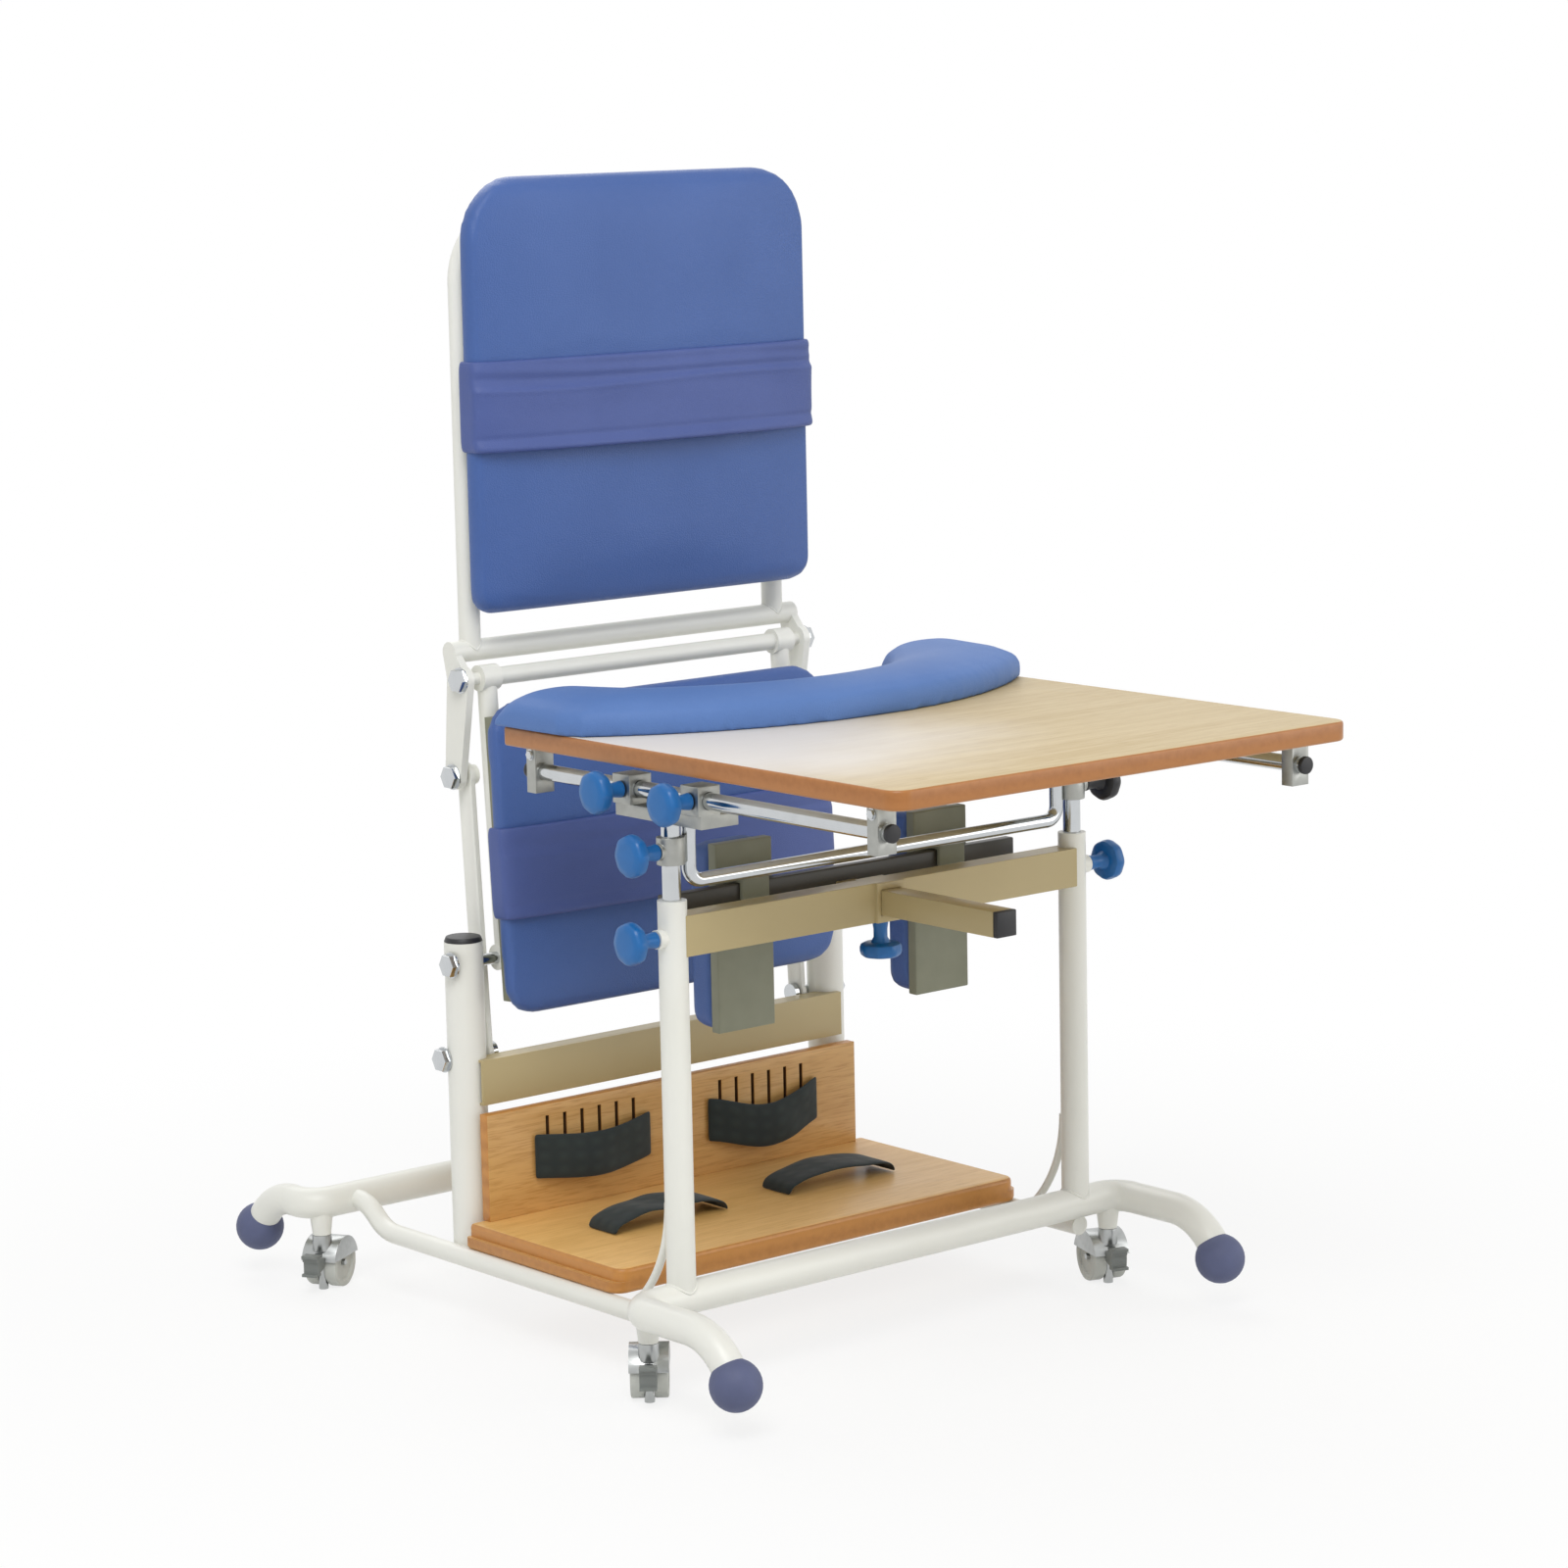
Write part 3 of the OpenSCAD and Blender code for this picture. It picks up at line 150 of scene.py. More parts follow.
def maths(tree: NodeTree, operation: str, *values: NodeSocket | float, clamp: bool = False) -> NodeSocket:
    """Adds one step of arithmetic, clamped to 0 to 1 if asked, and returns its result."""
    settings = {"operation": operation, "use_clamp": clamp}
    return wire(tree, "Math", settings, dict(enumerate(values))).outputs[0]


def vector_maths(tree: NodeTree, operation: str, *values: NodeSocket | Sequence[float]) -> Node:
    """Adds one step of vector arithmetic and returns its node."""
    return wire(tree, "VectorMath", {"operation": operation}, dict(enumerate(values)))


def ranged(tree: NodeTree, value: NodeSocket, kind: str = "LINEAR", **limits: float) -> NodeSocket:
    """Maps a value to a range, with limits named after the node's sockets, and returns the result."""
    sockets = {name.replace("_", " ").title(): limit for name, limit in limits.items()}
    return wire(tree, "MapRange", {"interpolation_type": kind}, {"Value": value} | sockets).outputs[0]


def blend(tree: NodeTree, share: NodeSocket, first: NodeSocket | Sequence[float],
          second: Sequence[float]) -> NodeSocket:
    """Mixes two colours by a share, 0 for the first and 1 for the second, and returns the result."""
    return wire(tree, "Mix", {"data_type": "RGBA"}, {0: share, 6: first, 7: second}).outputs[2]


def relief(tree: NodeTree, height: NodeSocket, depth: float) -> NodeSocket:
    """Turns a height from 0 to 1 into a normal, with a depth in millimetres."""
    sockets = {"Height": height, "Distance": depth * MM, "Strength": 1.0}
    return wire(tree, "Bump", None, sockets).outputs["Normal"]


@dataclass(frozen=True)
class Finish:
    """A surface finish with one base colour and a pattern of its own. Pattern sizes are in millimetres."""

    name: str
    colour: str
    shade: str
    roughness: float

    def material(self) -> Material:
        """Returns the finish's material, made at its first use."""
        made = bpy.data.materials.get(self.name)
        if made is None:
            made = bpy.data.materials.new(self.name)
            made.use_nodes = True
            tree = made.node_tree
            plain = {"Base Color": linear(self.colour), "Roughness": self.roughness}
            feed(feed(tree.nodes["Principled BSDF"], plain), self.draw(tree))
        return made

    def draw(self, tree: NodeTree) -> Inputs:
        """Adds the finish's pattern to a node tree and returns what it feeds into the Principled shader."""
        raise NotImplementedError

    def tone(self, tree: NodeTree, share: NodeSocket) -> NodeSocket:
        """Mixes the base colour towards the shade by a share from 0 to 1."""
        return blend(tree, share, linear(self.colour), linear(self.shade))

    def gloss(self, tree: NodeTree, share: NodeSocket, spread: float) -> NodeSocket:
        """Spreads the roughness about its own value by a share from 0 to 1."""
        low = self.roughness - spread / 2
        return ranged(tree, share, to_min=low, to_max=low + spread)


@dataclass(frozen=True)
class PowderCoat(Finish):
    """Powder-coated steel: a satin paint with a faint orange peel and a little tonal drift."""

    drift: float = 140.0
    octaves: float = 3.0
    spread: float = 0.1
    grit: float = 2.5
    grit_octaves: float = 1.0
    depth: float = 0.05

    def draw(self, tree: NodeTree) -> Inputs:
        """Adds a broad drift of tone and gloss over a fine relief, as Finish.draw says."""
        place = place_on(tree)
        drift = speckle(tree, place, self.drift, self.octaves)
        grit = speckle(tree, place, self.grit, self.grit_octaves)
        return {"Base Color": self.tone(tree, drift), "Roughness": self.gloss(tree, drift, self.spread),
                "Normal": relief(tree, grit, self.depth)}


@dataclass(frozen=True)
class Moulded(PowderCoat):
    """Moulded plastic or rubber: an even spark-eroded texture with a slight bloom."""

    drift: float = 22.0
    octaves: float = 4.0
    spread: float = 0.12
    grit: float = 1.6
    grit_octaves: float = 2.0
    depth: float = 0.06


@dataclass(frozen=True)
class Plated(PowderCoat):
    """Plated or cast metal: mirror to satin, with faint handling marks in its gloss."""

    drift: float = 18.0
    octaves: float = 6.0
    grit: float = 1.2
    grit_octaves: float = 2.0
    depth: float = 0.01

    def draw(self, tree: NodeTree) -> Inputs:
        """Adds the handling marks to bare metal, as Finish.draw says."""
        return super().draw(tree) | {"Metallic": 1.0}


@dataclass(frozen=True)
class Vinyl(Finish):
    """Upholstery vinyl: an embossed hide grain, drawn coarser than its real 0.8 mm so that it shows."""

    cell: float = 2.4
    shine: float = 0.4
    drift: float = 90.0
    spread: float = 0.12
    groove: float = 0.25
    depth: float = 0.12

    def draw(self, tree: NodeTree) -> Inputs:
        """Adds the hide grain and a soft drift of tone, as Finish.draw says."""
        place = place_on(tree)
        drift = speckle(tree, place, self.drift, 4.0)
        warp = wire(tree, "TexNoise", None, {"Vector": place, "Scale": per_mm(self.cell * 2)})
        bent = vector_maths(tree, "MULTIPLY_ADD", warp.outputs["Color"], (self.cell * MM,) * 3, place)
        grain = wire(tree, "TexVoronoi", {"feature": "DISTANCE_TO_EDGE"},
                     {"Vector": bent.outputs[0], "Scale": per_mm(self.cell)}).outputs["Distance"]
        return {"Base Color": self.tone(tree, drift), "Roughness": self.gloss(tree, drift, self.spread),
                "Normal": relief(tree, ranged(tree, grain, from_max=self.groove), self.depth),
                "Specular IOR Level": self.shine}


@dataclass(frozen=True)
class Woven(Finish):
    """Woven webbing: ribs of warp thread crossed by the weft, drawn coarse enough to show."""

    thread: float = 2.2
    pitch: float = 1.4
    fade: float = 45.0
    depth: float = 0.3
    sheen: float = 0.15
    shine: float = 0.3

    def draw(self, tree: NodeTree) -> Inputs:
        """Adds the crossed threads along the piece's own map, as Finish.draw says."""
        place = place_on(tree, "UV")
        warp = bands(tree, place, "Y", self.thread, 0.4)
        weft = bands(tree, place, "X", self.thread * self.pitch, 0.6)
        cross = maths(tree, "MULTIPLY", warp, weft)
        fade = speckle(tree, place, self.fade, 3.0)
        share = maths(tree, "MULTIPLY_ADD", cross, -0.5, fade, clamp=True)
        return {"Base Color": self.tone(tree, share), "Normal": relief(tree, cross, self.depth),
                "Sheen Weight": self.sheen, "Specular IOR Level": self.shine}


@dataclass(frozen=True)
class Timber(Finish):
    """Lacquered wood veneer: growth rings stretched along X, darker pores and a satin lacquer."""

    ring: float = 16.0
    coat: float = 0.0
    coat_roughness: float = 0.18
    stretch: float = 0.06
    pore: float = 1.6
    pore_share: float = 0.45
    spread: float = 0.14
    depth: float = 0.05

    def draw(self, tree: NodeTree) -> Inputs:
        """Adds rings and pores along the grain, as Finish.draw says."""
        along = {"Vector": place_on(tree), "Scale": (self.stretch, 1.0, 1.0)}
        grain = wire(tree, "Mapping", None, along).outputs[0]
        rings = speckle(tree, grain, self.ring, 5.0, 1.2)
        pores = speckle(tree, grain, self.pore, 2.0)
        dark = ranged(tree, pores, from_min=0.48, from_max=0.7)
        share = maths(tree, "MULTIPLY_ADD", dark, self.pore_share, rings)
        return {"Base Color": self.tone(tree, ranged(tree, share, from_min=0.3, from_max=0.95)),
                "Roughness": self.gloss(tree, rings, self.spread), "Normal": relief(tree, pores, self.depth),
                "Coat Weight": self.coat, "Coat Roughness": self.coat_roughness}


@dataclass(frozen=True)
class SheenPaintedTimber(Timber):
    """Veneer with a pale reflection painted on in a broad patch, placed in metres, beside the rim cushion."""

    pale: str = "#F4F1EE"
    centre: tuple[float, float, float] = (-0.25, -0.18, 0.0)
    near: float = 0.14
    far: float = 0.42
    share: float = 0.8
    cloud: float = 120.0
    ragged: float = 0.12

    def draw(self, tree: NodeTree) -> Inputs:
        """Adds the painted pale reflection over the grain, as Finish.draw says."""
        inputs = super().draw(tree)
        place = place_on(tree)
        level = vector_maths(tree, "MULTIPLY", place, (1.0, 1.0, 0.0)).outputs[0]
        reach = vector_maths(tree, "DISTANCE", level, self.centre).outputs["Value"]
        broken = maths(tree, "MULTIPLY_ADD", speckle(tree, place, self.cloud, 3.0), self.ragged, reach)
        # The pale patch is a painted reflection that fades out with distance from its centre.
        sheen_share = ranged(tree, broken, "SMOOTHSTEP", from_min=self.near, from_max=self.far, to_min=self.share,
                     to_max=0.0)
        return inputs | {"Base Color": blend(tree, sheen_share, inputs["Base Color"], linear(self.pale))}


@dataclass(frozen=True)
class PlyEdge(Finish):
    """Lacquered edge of a laminated board: level plies, a little broken up along their length."""

    ply: float = 3.0
    fleck: float = 7.0
    spread: float = 0.15
    depth: float = 0.03

    def draw(self, tree: NodeTree) -> Inputs:
        """Adds the level plies, as Finish.draw says."""
        place = place_on(tree)
        plies = bands(tree, place, "Z", self.ply, 1.5, 8.0)
        flecks = speckle(tree, place, self.fleck, 4.0)
        return {"Base Color": self.tone(tree, maths(tree, "MULTIPLY", plies, flecks)),
                "Roughness": self.gloss(tree, flecks, self.spread), "Normal": relief(tree, plies, self.depth)}


WHITE_PAINT = PowderCoat("white_powder_coat", "#F0F0EA", "#E7E7DE", 0.34)
# Pale paint darkened to tan as painted shade: the tray's shadow with a warm bounce from the wood.
SHADED_WHITE_PAINT = PowderCoat("white_coat_painted_shade", "#BCAB7F", "#B09F73", 0.36)
DARK_PAINT = PowderCoat("dark_bar_paint", "#47433A", "#39362E", 0.4)
BLUE_VINYL = Vinyl("blue_upholstery_vinyl", "#4665A5", "#405D99", 0.42)
TRAY_VINYL = Vinyl("pale_rim_vinyl", "#6082BE", "#5879B3", 0.5, shine=0.22)
BELT_VINYL = Vinyl("belt_cover_vinyl", "#4E609E", "#44558E", 0.46, cell=1.8)
STRAP_WEB = Woven("black_strap_webbing", "#2B3433", "#1B2224", 0.75)
# The oak top carries a painted pale reflection on its left part, beside the rim cushion.
OAK_TOP = SheenPaintedTimber("pale_oak_veneer", "#D0BB8E", "#BDA474", 0.48, ring=22.0, coat=0.05)
OAK_EDGE = PlyEdge("lacquered_oak_edge", "#B2753C", "#985F2D", 0.35)
PLY_TOP = Timber("lacquered_ply", "#D7AA6A", "#BD8E4E", 0.36, ring=18.0, coat=0.2)
# The same ply painted lighter on the tread, as painted light against the tray's shadow.
LIT_TREAD_TOP = Timber("ply_tread_painted_light", "#EFC177", "#D9A85F", 0.42, ring=18.0, coat=0.1)
# Dark wood for the slot walls, painted as the shade inside the slots.
SLOT_SHADE = PlyEdge("slot_wall_painted_shade", "#5A3F22", "#463018", 0.6)
PLY_EDGE = PlyEdge("lacquered_ply_edge", "#C88A42", "#A86D30", 0.36)
CHROME = Plated("chrome_plate", "#CDD0D2", "#BFC2C4", 0.12)
CAST_ALLOY = Plated("cast_alloy", "#B4B5B0", "#A3A49F", 0.42, drift=9.0, spread=0.16, depth=0.05)
CASTER_STEEL = Plated("zinc_plated_steel", "#B9BBBA", "#A2A5A4", 0.3, drift=6.0)
SLATE_RUBBER = Moulded("slate_rubber", "#5C6386", "#515775", 0.62, depth=0.1)
BLACK_PLASTIC = Moulded("black_moulded_plastic", "#242427", "#1C1C1F", 0.45)
KNOB_BLUE = Moulded("blue_knob_plastic", "#0E69B0", "#0C5D9D", 0.34, depth=0.04)
PEDAL_GREY = Moulded("grey_pedal_plastic", "#7F8380", "#727673", 0.4)
WHEEL_TREAD = Moulded("grey_wheel_tread", "#CDCFC9", "#BDBFB9", 0.5)
BOARD_LAMINATE = Moulded("grey_board_laminate", "#8B8C78", "#7E806D", 0.5, grit=3.0, depth=0.04)

FINISH_OF_SLOT = {
    Slot.PAINT: WHITE_PAINT, Slot.RUBBER: SLATE_RUBBER, Slot.PLUG: BLACK_PLASTIC, Slot.PLY: PLY_TOP,
    Slot.STRAP: STRAP_WEB, Slot.CHROME: CHROME, Slot.CLAMP: CAST_ALLOY, Slot.BOARD: BOARD_LAMINATE,
    Slot.BAR: DARK_PAINT, Slot.VINYL: BLUE_VINYL, Slot.WEBBING: BELT_VINYL, Slot.OAK: OAK_TOP,
    Slot.FORK: CASTER_STEEL, Slot.WHEEL: WHEEL_TREAD, Slot.PEDAL: PEDAL_GREY,
    Slot.KNOB: KNOB_BLUE, Slot.KNOB_BLACK: BLACK_PLASTIC,
}
# The beam, the knee arm and the rear cross bar take the tan painted shade.
FINISH_OF_NODE = {"front_beam": SHADED_WHITE_PAINT, "knee_arm": SHADED_WHITE_PAINT, "rear_cross_bar": SHADED_WHITE_PAINT}


def slot_of(node: str) -> Slot:
    """Returns the record's material slot of a CAD node."""
    return next(Slot(part["material_slot"]) for part in frame["record"]["subparts"] if part["node"] == node)


def body_of(node: str) -> str:
    """Returns the body that a CAD node belongs to."""
    return next(name for name, nodes in frame["record"]["behaviour"]["bodies"].items() if node in nodes)


def finish_of(node: str) -> Finish:
    """Returns the finish of a CAD node: its own, or else its slot's."""
    return FINISH_OF_NODE.get(node, FINISH_OF_SLOT[slot_of(node)])


def pivot_of(joint: str) -> Vector:
    """Returns the place of a joint in the model's own frame."""
    return next(Vector(j["pos_m"]) for j in frame["joints"] if j["name"] == joint)


def copy_of(node: str) -> BMesh:
    """Returns a merged copy of a CAD node's mesh."""
    bm = bmesh.new()
    bm.from_mesh(frame["nodes"][node].data)
    bmesh.ops.remove_doubles(bm, verts=bm.verts, dist=MERGE)
    return bm


def mesh_of(bm: BMesh, name: str) -> Mesh:
    """Turns a bmesh, which is freed, into a mesh."""
    mesh = bpy.data.meshes.new(name)
    bm.to_mesh(mesh)
    bm.free()
    return mesh


def placed(name: str, data: ID) -> Object:
    """Adds an object with its data to the scene and returns it."""
    made = bpy.data.objects.new(name, data)
    bpy.context.scene.collection.objects.link(made)
    return made


def finished(bm: BMesh, name: str, body: str, finishes: Sequence[Finish],
             stands_for: Iterable[str] = (), crease: float = CREASE) -> Object:
    """Turns a bmesh into a piece that rides on a body.

    Args:
        bm: Shape in the model's own frame; it is freed.
        name: Name of the piece.
        body: Body that it moves with.
        finishes: Finishes in the order of the faces' material numbers.
        stands_for: CAD nodes that the piece replaces.
        crease: Angle in degrees above which an edge stays sharp.

    Returns:
        The new object.
    """
    mesh = mesh_of(bm, name)
    for finish in finishes:
        mesh.materials.append(finish.material())
    mesh.polygons.foreach_set("use_smooth", [True] * len(mesh.polygons))
    mesh.set_sharp_from_angle(angle=math.radians(crease))
    piece = placed(name, mesh)
    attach(piece, body)
    if stands_for:
        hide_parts(*stands_for)
    LOG.info("%s rides on %s with %d faces", name, body, len(mesh.polygons))
    return piece


def stand_in(bm: BMesh, node: str, kind: str, finishes: Sequence[Finish], crease: float = CREASE) -> Object:
    """Turns a bmesh into a piece that stands for one CAD node, as finished says."""
    return finished(bm, f"{node}_{kind}", body_of(node), finishes, [node], crease)


def subdivided(piece: Object) -> Object:
    """Adds a subdivision surface of one level, in the view and in renders alike."""
    modifier = piece.modifiers.new("smooth", "SUBSURF")
    modifier.levels = modifier.render_levels = 1
    return piece


def merge_flat(bm: BMesh) -> None:
    """Merges facets that lie in one plane."""
    bmesh.ops.dissolve_limit(bm, angle_limit=math.radians(0.5), verts=bm.verts, edges=bm.edges)


def bevel(bm: BMesh, edges: Sequence[BMEdge], width: float, segments: int, clamp: bool = False) -> None:
    """Rounds edges by a width in metres, which shrinks where two would meet if clamped."""
    bmesh.ops.bevel(bm, geom=edges, offset=width, offset_type="OFFSET", affect="EDGES", segments=segments,
                    profile=0.5, material=-1, clamp_overlap=clamp)


def round_edges(bm: BMesh, width: float, segments: int = 3, seam: float | None = None) -> None:
    """Merges flat facets and rounds every sharp edge.

    Args:
        bm: Shape to round.
        width: Width of the rounding in metres.
        segments: Steps across the rounding.
        seam: Height whose level edges stay sharp, or none.
    """
    merge_flat(bm)
    sharp = [e for e in bm.edges if len(e.link_faces) == 2 and e.calc_face_angle() > math.radians(CREASE)]
    if seam is not None:
        sharp = [e for e in sharp if any(abs(v.co.z - seam) > MERGE for v in e.verts)]
    bevel(bm, sharp, width, segments, clamp=True)


@dataclass
class Board:
    """A board with rounded edges, veneered faces, a lacquered edge and, in one, slot walls painted dark as shade.
    """

    node: str
    face: Finish
    edge: Finish
    level: Vector
    rounding: float
    corner: float = 0.0
    seam: float | None = None
    slot_wall: Finish | None = None
    skin: float = 1.0 * MM
    corner_steps: int = 8

    def build(self) -> Object:
        """Builds the board over its CAD node and returns the piece."""
        bm = copy_of(self.node)
        if self.corner:
            self.round_corners(bm)
        round_edges(bm, self.rounding, seam=self.seam)
        bm.normal_update()
        low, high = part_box(self.node)
        for face in bm.faces:
            middle = face.calc_center_median()
            inside = all(low[i] + self.skin < middle[i] < high[i] - self.skin for i in range(3))
            level = abs(face.normal.dot(self.level)) > 0.9
            # Faces inside the board's box are slot walls and take the dark finish as painted shade.
            face.material_index = 2 if inside and self.slot_wall else 0 if level else 1
        walls = (self.slot_wall,) if self.slot_wall else ()
        return stand_in(bm, self.node, "wood", (self.face, self.edge, *walls))

    def round_corners(self, bm: BMesh) -> None:
        """Rounds the board's two front corners in plan."""
        merge_flat(bm)
        low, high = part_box(self.node)
        corners = [Vector((x, low.y)) for x in (low.x, high.x)]
        uprights = [e for e in bm.edges for corner in corners
                    if all((v.co.xy - corner).length < MERGE for v in e.verts)]
        bevel(bm, uprights, self.corner, self.corner_steps)


@dataclass
class Eased:
    """A hard piece whose sharp edges are eased as a casting, pressing or moulding has them."""

    node: str
    easing: float
    segments: int = 2

    def build(self) -> Object:
        """Builds the eased piece over its CAD node and returns it."""
        bm = copy_of(self.node)
        round_edges(bm, self.easing, self.segments)
        return stand_in(bm, self.node, "eased", (finish_of(self.node),))


def swept(path: Sequence[Vector], radius: float, sides: int = 8) -> BMesh:
    """Sweeps a round section along a closed path.

    Args:
        path: Points round the loop.
        radius: Radius of the section in metres.
        sides: Faces round the section.

    Returns:
        The closed ring.
    """
    bm = bmesh.new()
    middle = sum(path, Vector()) / len(path)
    loops = []
    for i, point in enumerate(path):
        along = (path[(i + 1) % len(path)] - path[i - 1]).normalized()
        out = (point - middle) - along * (point - middle).dot(along)
        turn = Matrix((out.normalized(), along.cross(out.normalized()), along)).transposed().to_4x4()
        made = bmesh.ops.create_circle(bm, cap_ends=False, segments=sides, radius=radius,
                                       matrix=Matrix.Translation(point) @ turn)["verts"]
        loops.append(list({e for v in made for e in v.link_edges}))
    for a, b in zip(loops, loops[1:] + loops[:1]):
        bmesh.ops.bridge_loops(bm, edges=a + b)
    bmesh.ops.recalc_face_normals(bm, faces=bm.faces)
    return bm


def joined(parts: Iterable[BMesh]) -> BMesh:
    """Joins shapes into one and frees them.

    Args:
        parts: Shapes in one frame.

    Returns:
        A shape that holds them all.
    """
    whole = bmesh.new()
    for part in parts:
        mesh = mesh_of(part, "part")
        whole.from_mesh(mesh)
        bpy.data.meshes.remove(mesh)
    return whole


@dataclass
class WeldBead:
    """Fillet bead where a tube is welded on to another that it meets at a right angle."""

    centre: Vector
    branch: Vector
    host: Vector
    branch_r: float
    host_r: float
    bead: float = 1.5 * MM
    steps: int = 48
    ripple: float = 0.25 * MM
    ripples: int = 24

    def shape(self) -> BMesh:
        """Returns the bead along the line where the two tubes meet."""
        side = self.host.cross(self.branch)
        path = []
        for i in range(self.steps):
            turn = math.tau * i / self.steps
            across = self.branch_r * math.sin(turn)
            rise = math.sqrt(max(0.0, self.host_r ** 2 - across ** 2))
            ripple = self.ripple * math.sin(turn * self.ripples)
            path.append(self.centre + self.host * self.branch_r * math.cos(turn) + side * across
                        + self.branch * (rise + ripple))
        return swept(path, self.bead)


@dataclass
class Welds:
    """The weld beads of the painted frames."""

    front_post: Vector = field(default_factory=lambda: Vector((256, -155, 91)) * MM)
    post_r: float = 14.0 * MM
    rail_r: float = 16.0 * MM
    back_tube: Vector = field(default_factory=lambda: Vector((196, 237, 668)) * MM)
    tube_r: float = 10.9 * MM
    cross_r: float = 11.0 * MM
    fine: float = 1.2 * MM

    def build(self) -> None:
        """Builds the beads of the base and of the back frame."""
        base, back = [], []
        for side in BOTH_SIDES:
            flip = Vector((side, 1, 1))
            base.append(WeldBead(self.front_post * flip, UP, RIGHT, self.post_r, self.rail_r).shape())
            tube = self.back_tube * flip
            back.append(WeldBead(tube, UP, RIGHT, self.tube_r, self.cross_r, self.fine).shape())
        finished(joined(base), "base_weld_beads", "base", (WHITE_PAINT,))
        finished(joined(back), "back_weld_beads", "back", (WHITE_PAINT,))


def prism(bm: BMesh, sides: int, radius: float, height: float) -> None:
    """Adds a regular prism with a corner radius that stands on the XY plane."""
    bmesh.ops.create_cone(bm, cap_ends=True, segments=sides, radius1=radius, radius2=radius, depth=height,
                          matrix=Matrix.Translation((0, 0, height / 2)))


def stood(bm: BMesh, foot: Vector, axis: Vector) -> BMesh:
    """Moves a shape's origin to a foot, turns its Z axis along another and returns it."""
    turn = UP.rotation_difference(axis).to_matrix().to_4x4()
    bmesh.ops.transform(bm, matrix=Matrix.Translation(foot) @ turn, verts=bm.verts)
    return bm


@dataclass
class HexBolt:
    """A hexagon bolt head on a washer."""

    foot: Vector
    axis: Vector
    across: float = 21.0 * MM
    height: float = 7.6 * MM
    washer_r: float = 13.0 * MM
    washer_t: float = 1.3 * MM
    chamfer: float = 1.1 * MM

    def shape(self) -> BMesh:
        """Returns the head and its washer."""
        bm = bmesh.new()
        prism(bm, 6, self.across / math.sqrt(3), self.height)
        rim = [e for e in bm.edges if all(v.co.z > self.height * 0.9 for v in e.verts)]
        bevel(bm, rim, self.chamfer, 2)
        prism(bm, 40, self.washer_r, self.washer_t)
        return stood(bm, self.foot, self.axis)


@dataclass
class Hardware:
    """Bolt heads on the pivots and on the tray hangers. Small sizes are in HexBolt's order."""

    head: float = 7.0 * MM
    inset: float = 7.0 * MM
    drop: float = 8.0 * MM
    small: tuple[float, float, float, float] = (8.0 * MM, 3.2 * MM, 5.5 * MM, 0.8 * MM)

    def build(self) -> None:
        """Builds the bolt heads of the posts, the levers and the hangers."""
        seat, upper, link = (pivot_of(name) for name in ("seat_tilt", "back_level", "link_swing"))
        far = upper + link - seat
        posts = self.heads((seat, link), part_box("pivot_pins")[1].x - self.head)
        levers = self.heads((upper, far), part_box("back_levers")[1].x - self.head)
        finished(joined(posts), "post_bolt_heads", "base", (CHROME,))
        finished(joined(levers), "lever_bolt_heads", "back", (CHROME,))
        low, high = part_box("tray_hangers")
        spots = [Vector((0, y, high.z - self.drop)) for y in (low.y + self.inset, high.y - self.inset)]
        hangers = self.heads(spots, high.x, self.small)
        finished(joined(hangers), "hanger_bolt_heads", "tray", (CHROME,))

    def heads(self, spots: Sequence[Vector], face: float, sizes: Sequence[float] = ()) -> list[BMesh]:
        """Returns bolt heads at the Y and Z of each spot, on both sides, with HexBolt's sizes or others."""
        return [HexBolt(Vector((side * face, spot.y, spot.z)), Vector((side, 0, 0)), *sizes).shape()
                for spot in spots for side in BOTH_SIDES]


@dataclass
class Band:
    """Height range that a belt presses into a cushion."""

    low: float
    high: float
    blend: float = 22 * MM

    def pressed(self, height: float) -> float:
        """Share of a cushion's swelling that the belt holds back at a height."""
        if height < self.low:
            gap = self.low - height
        else:
            gap = max(0.0, height - self.high)
        return max(0.0, 1.0 - gap / self.blend)


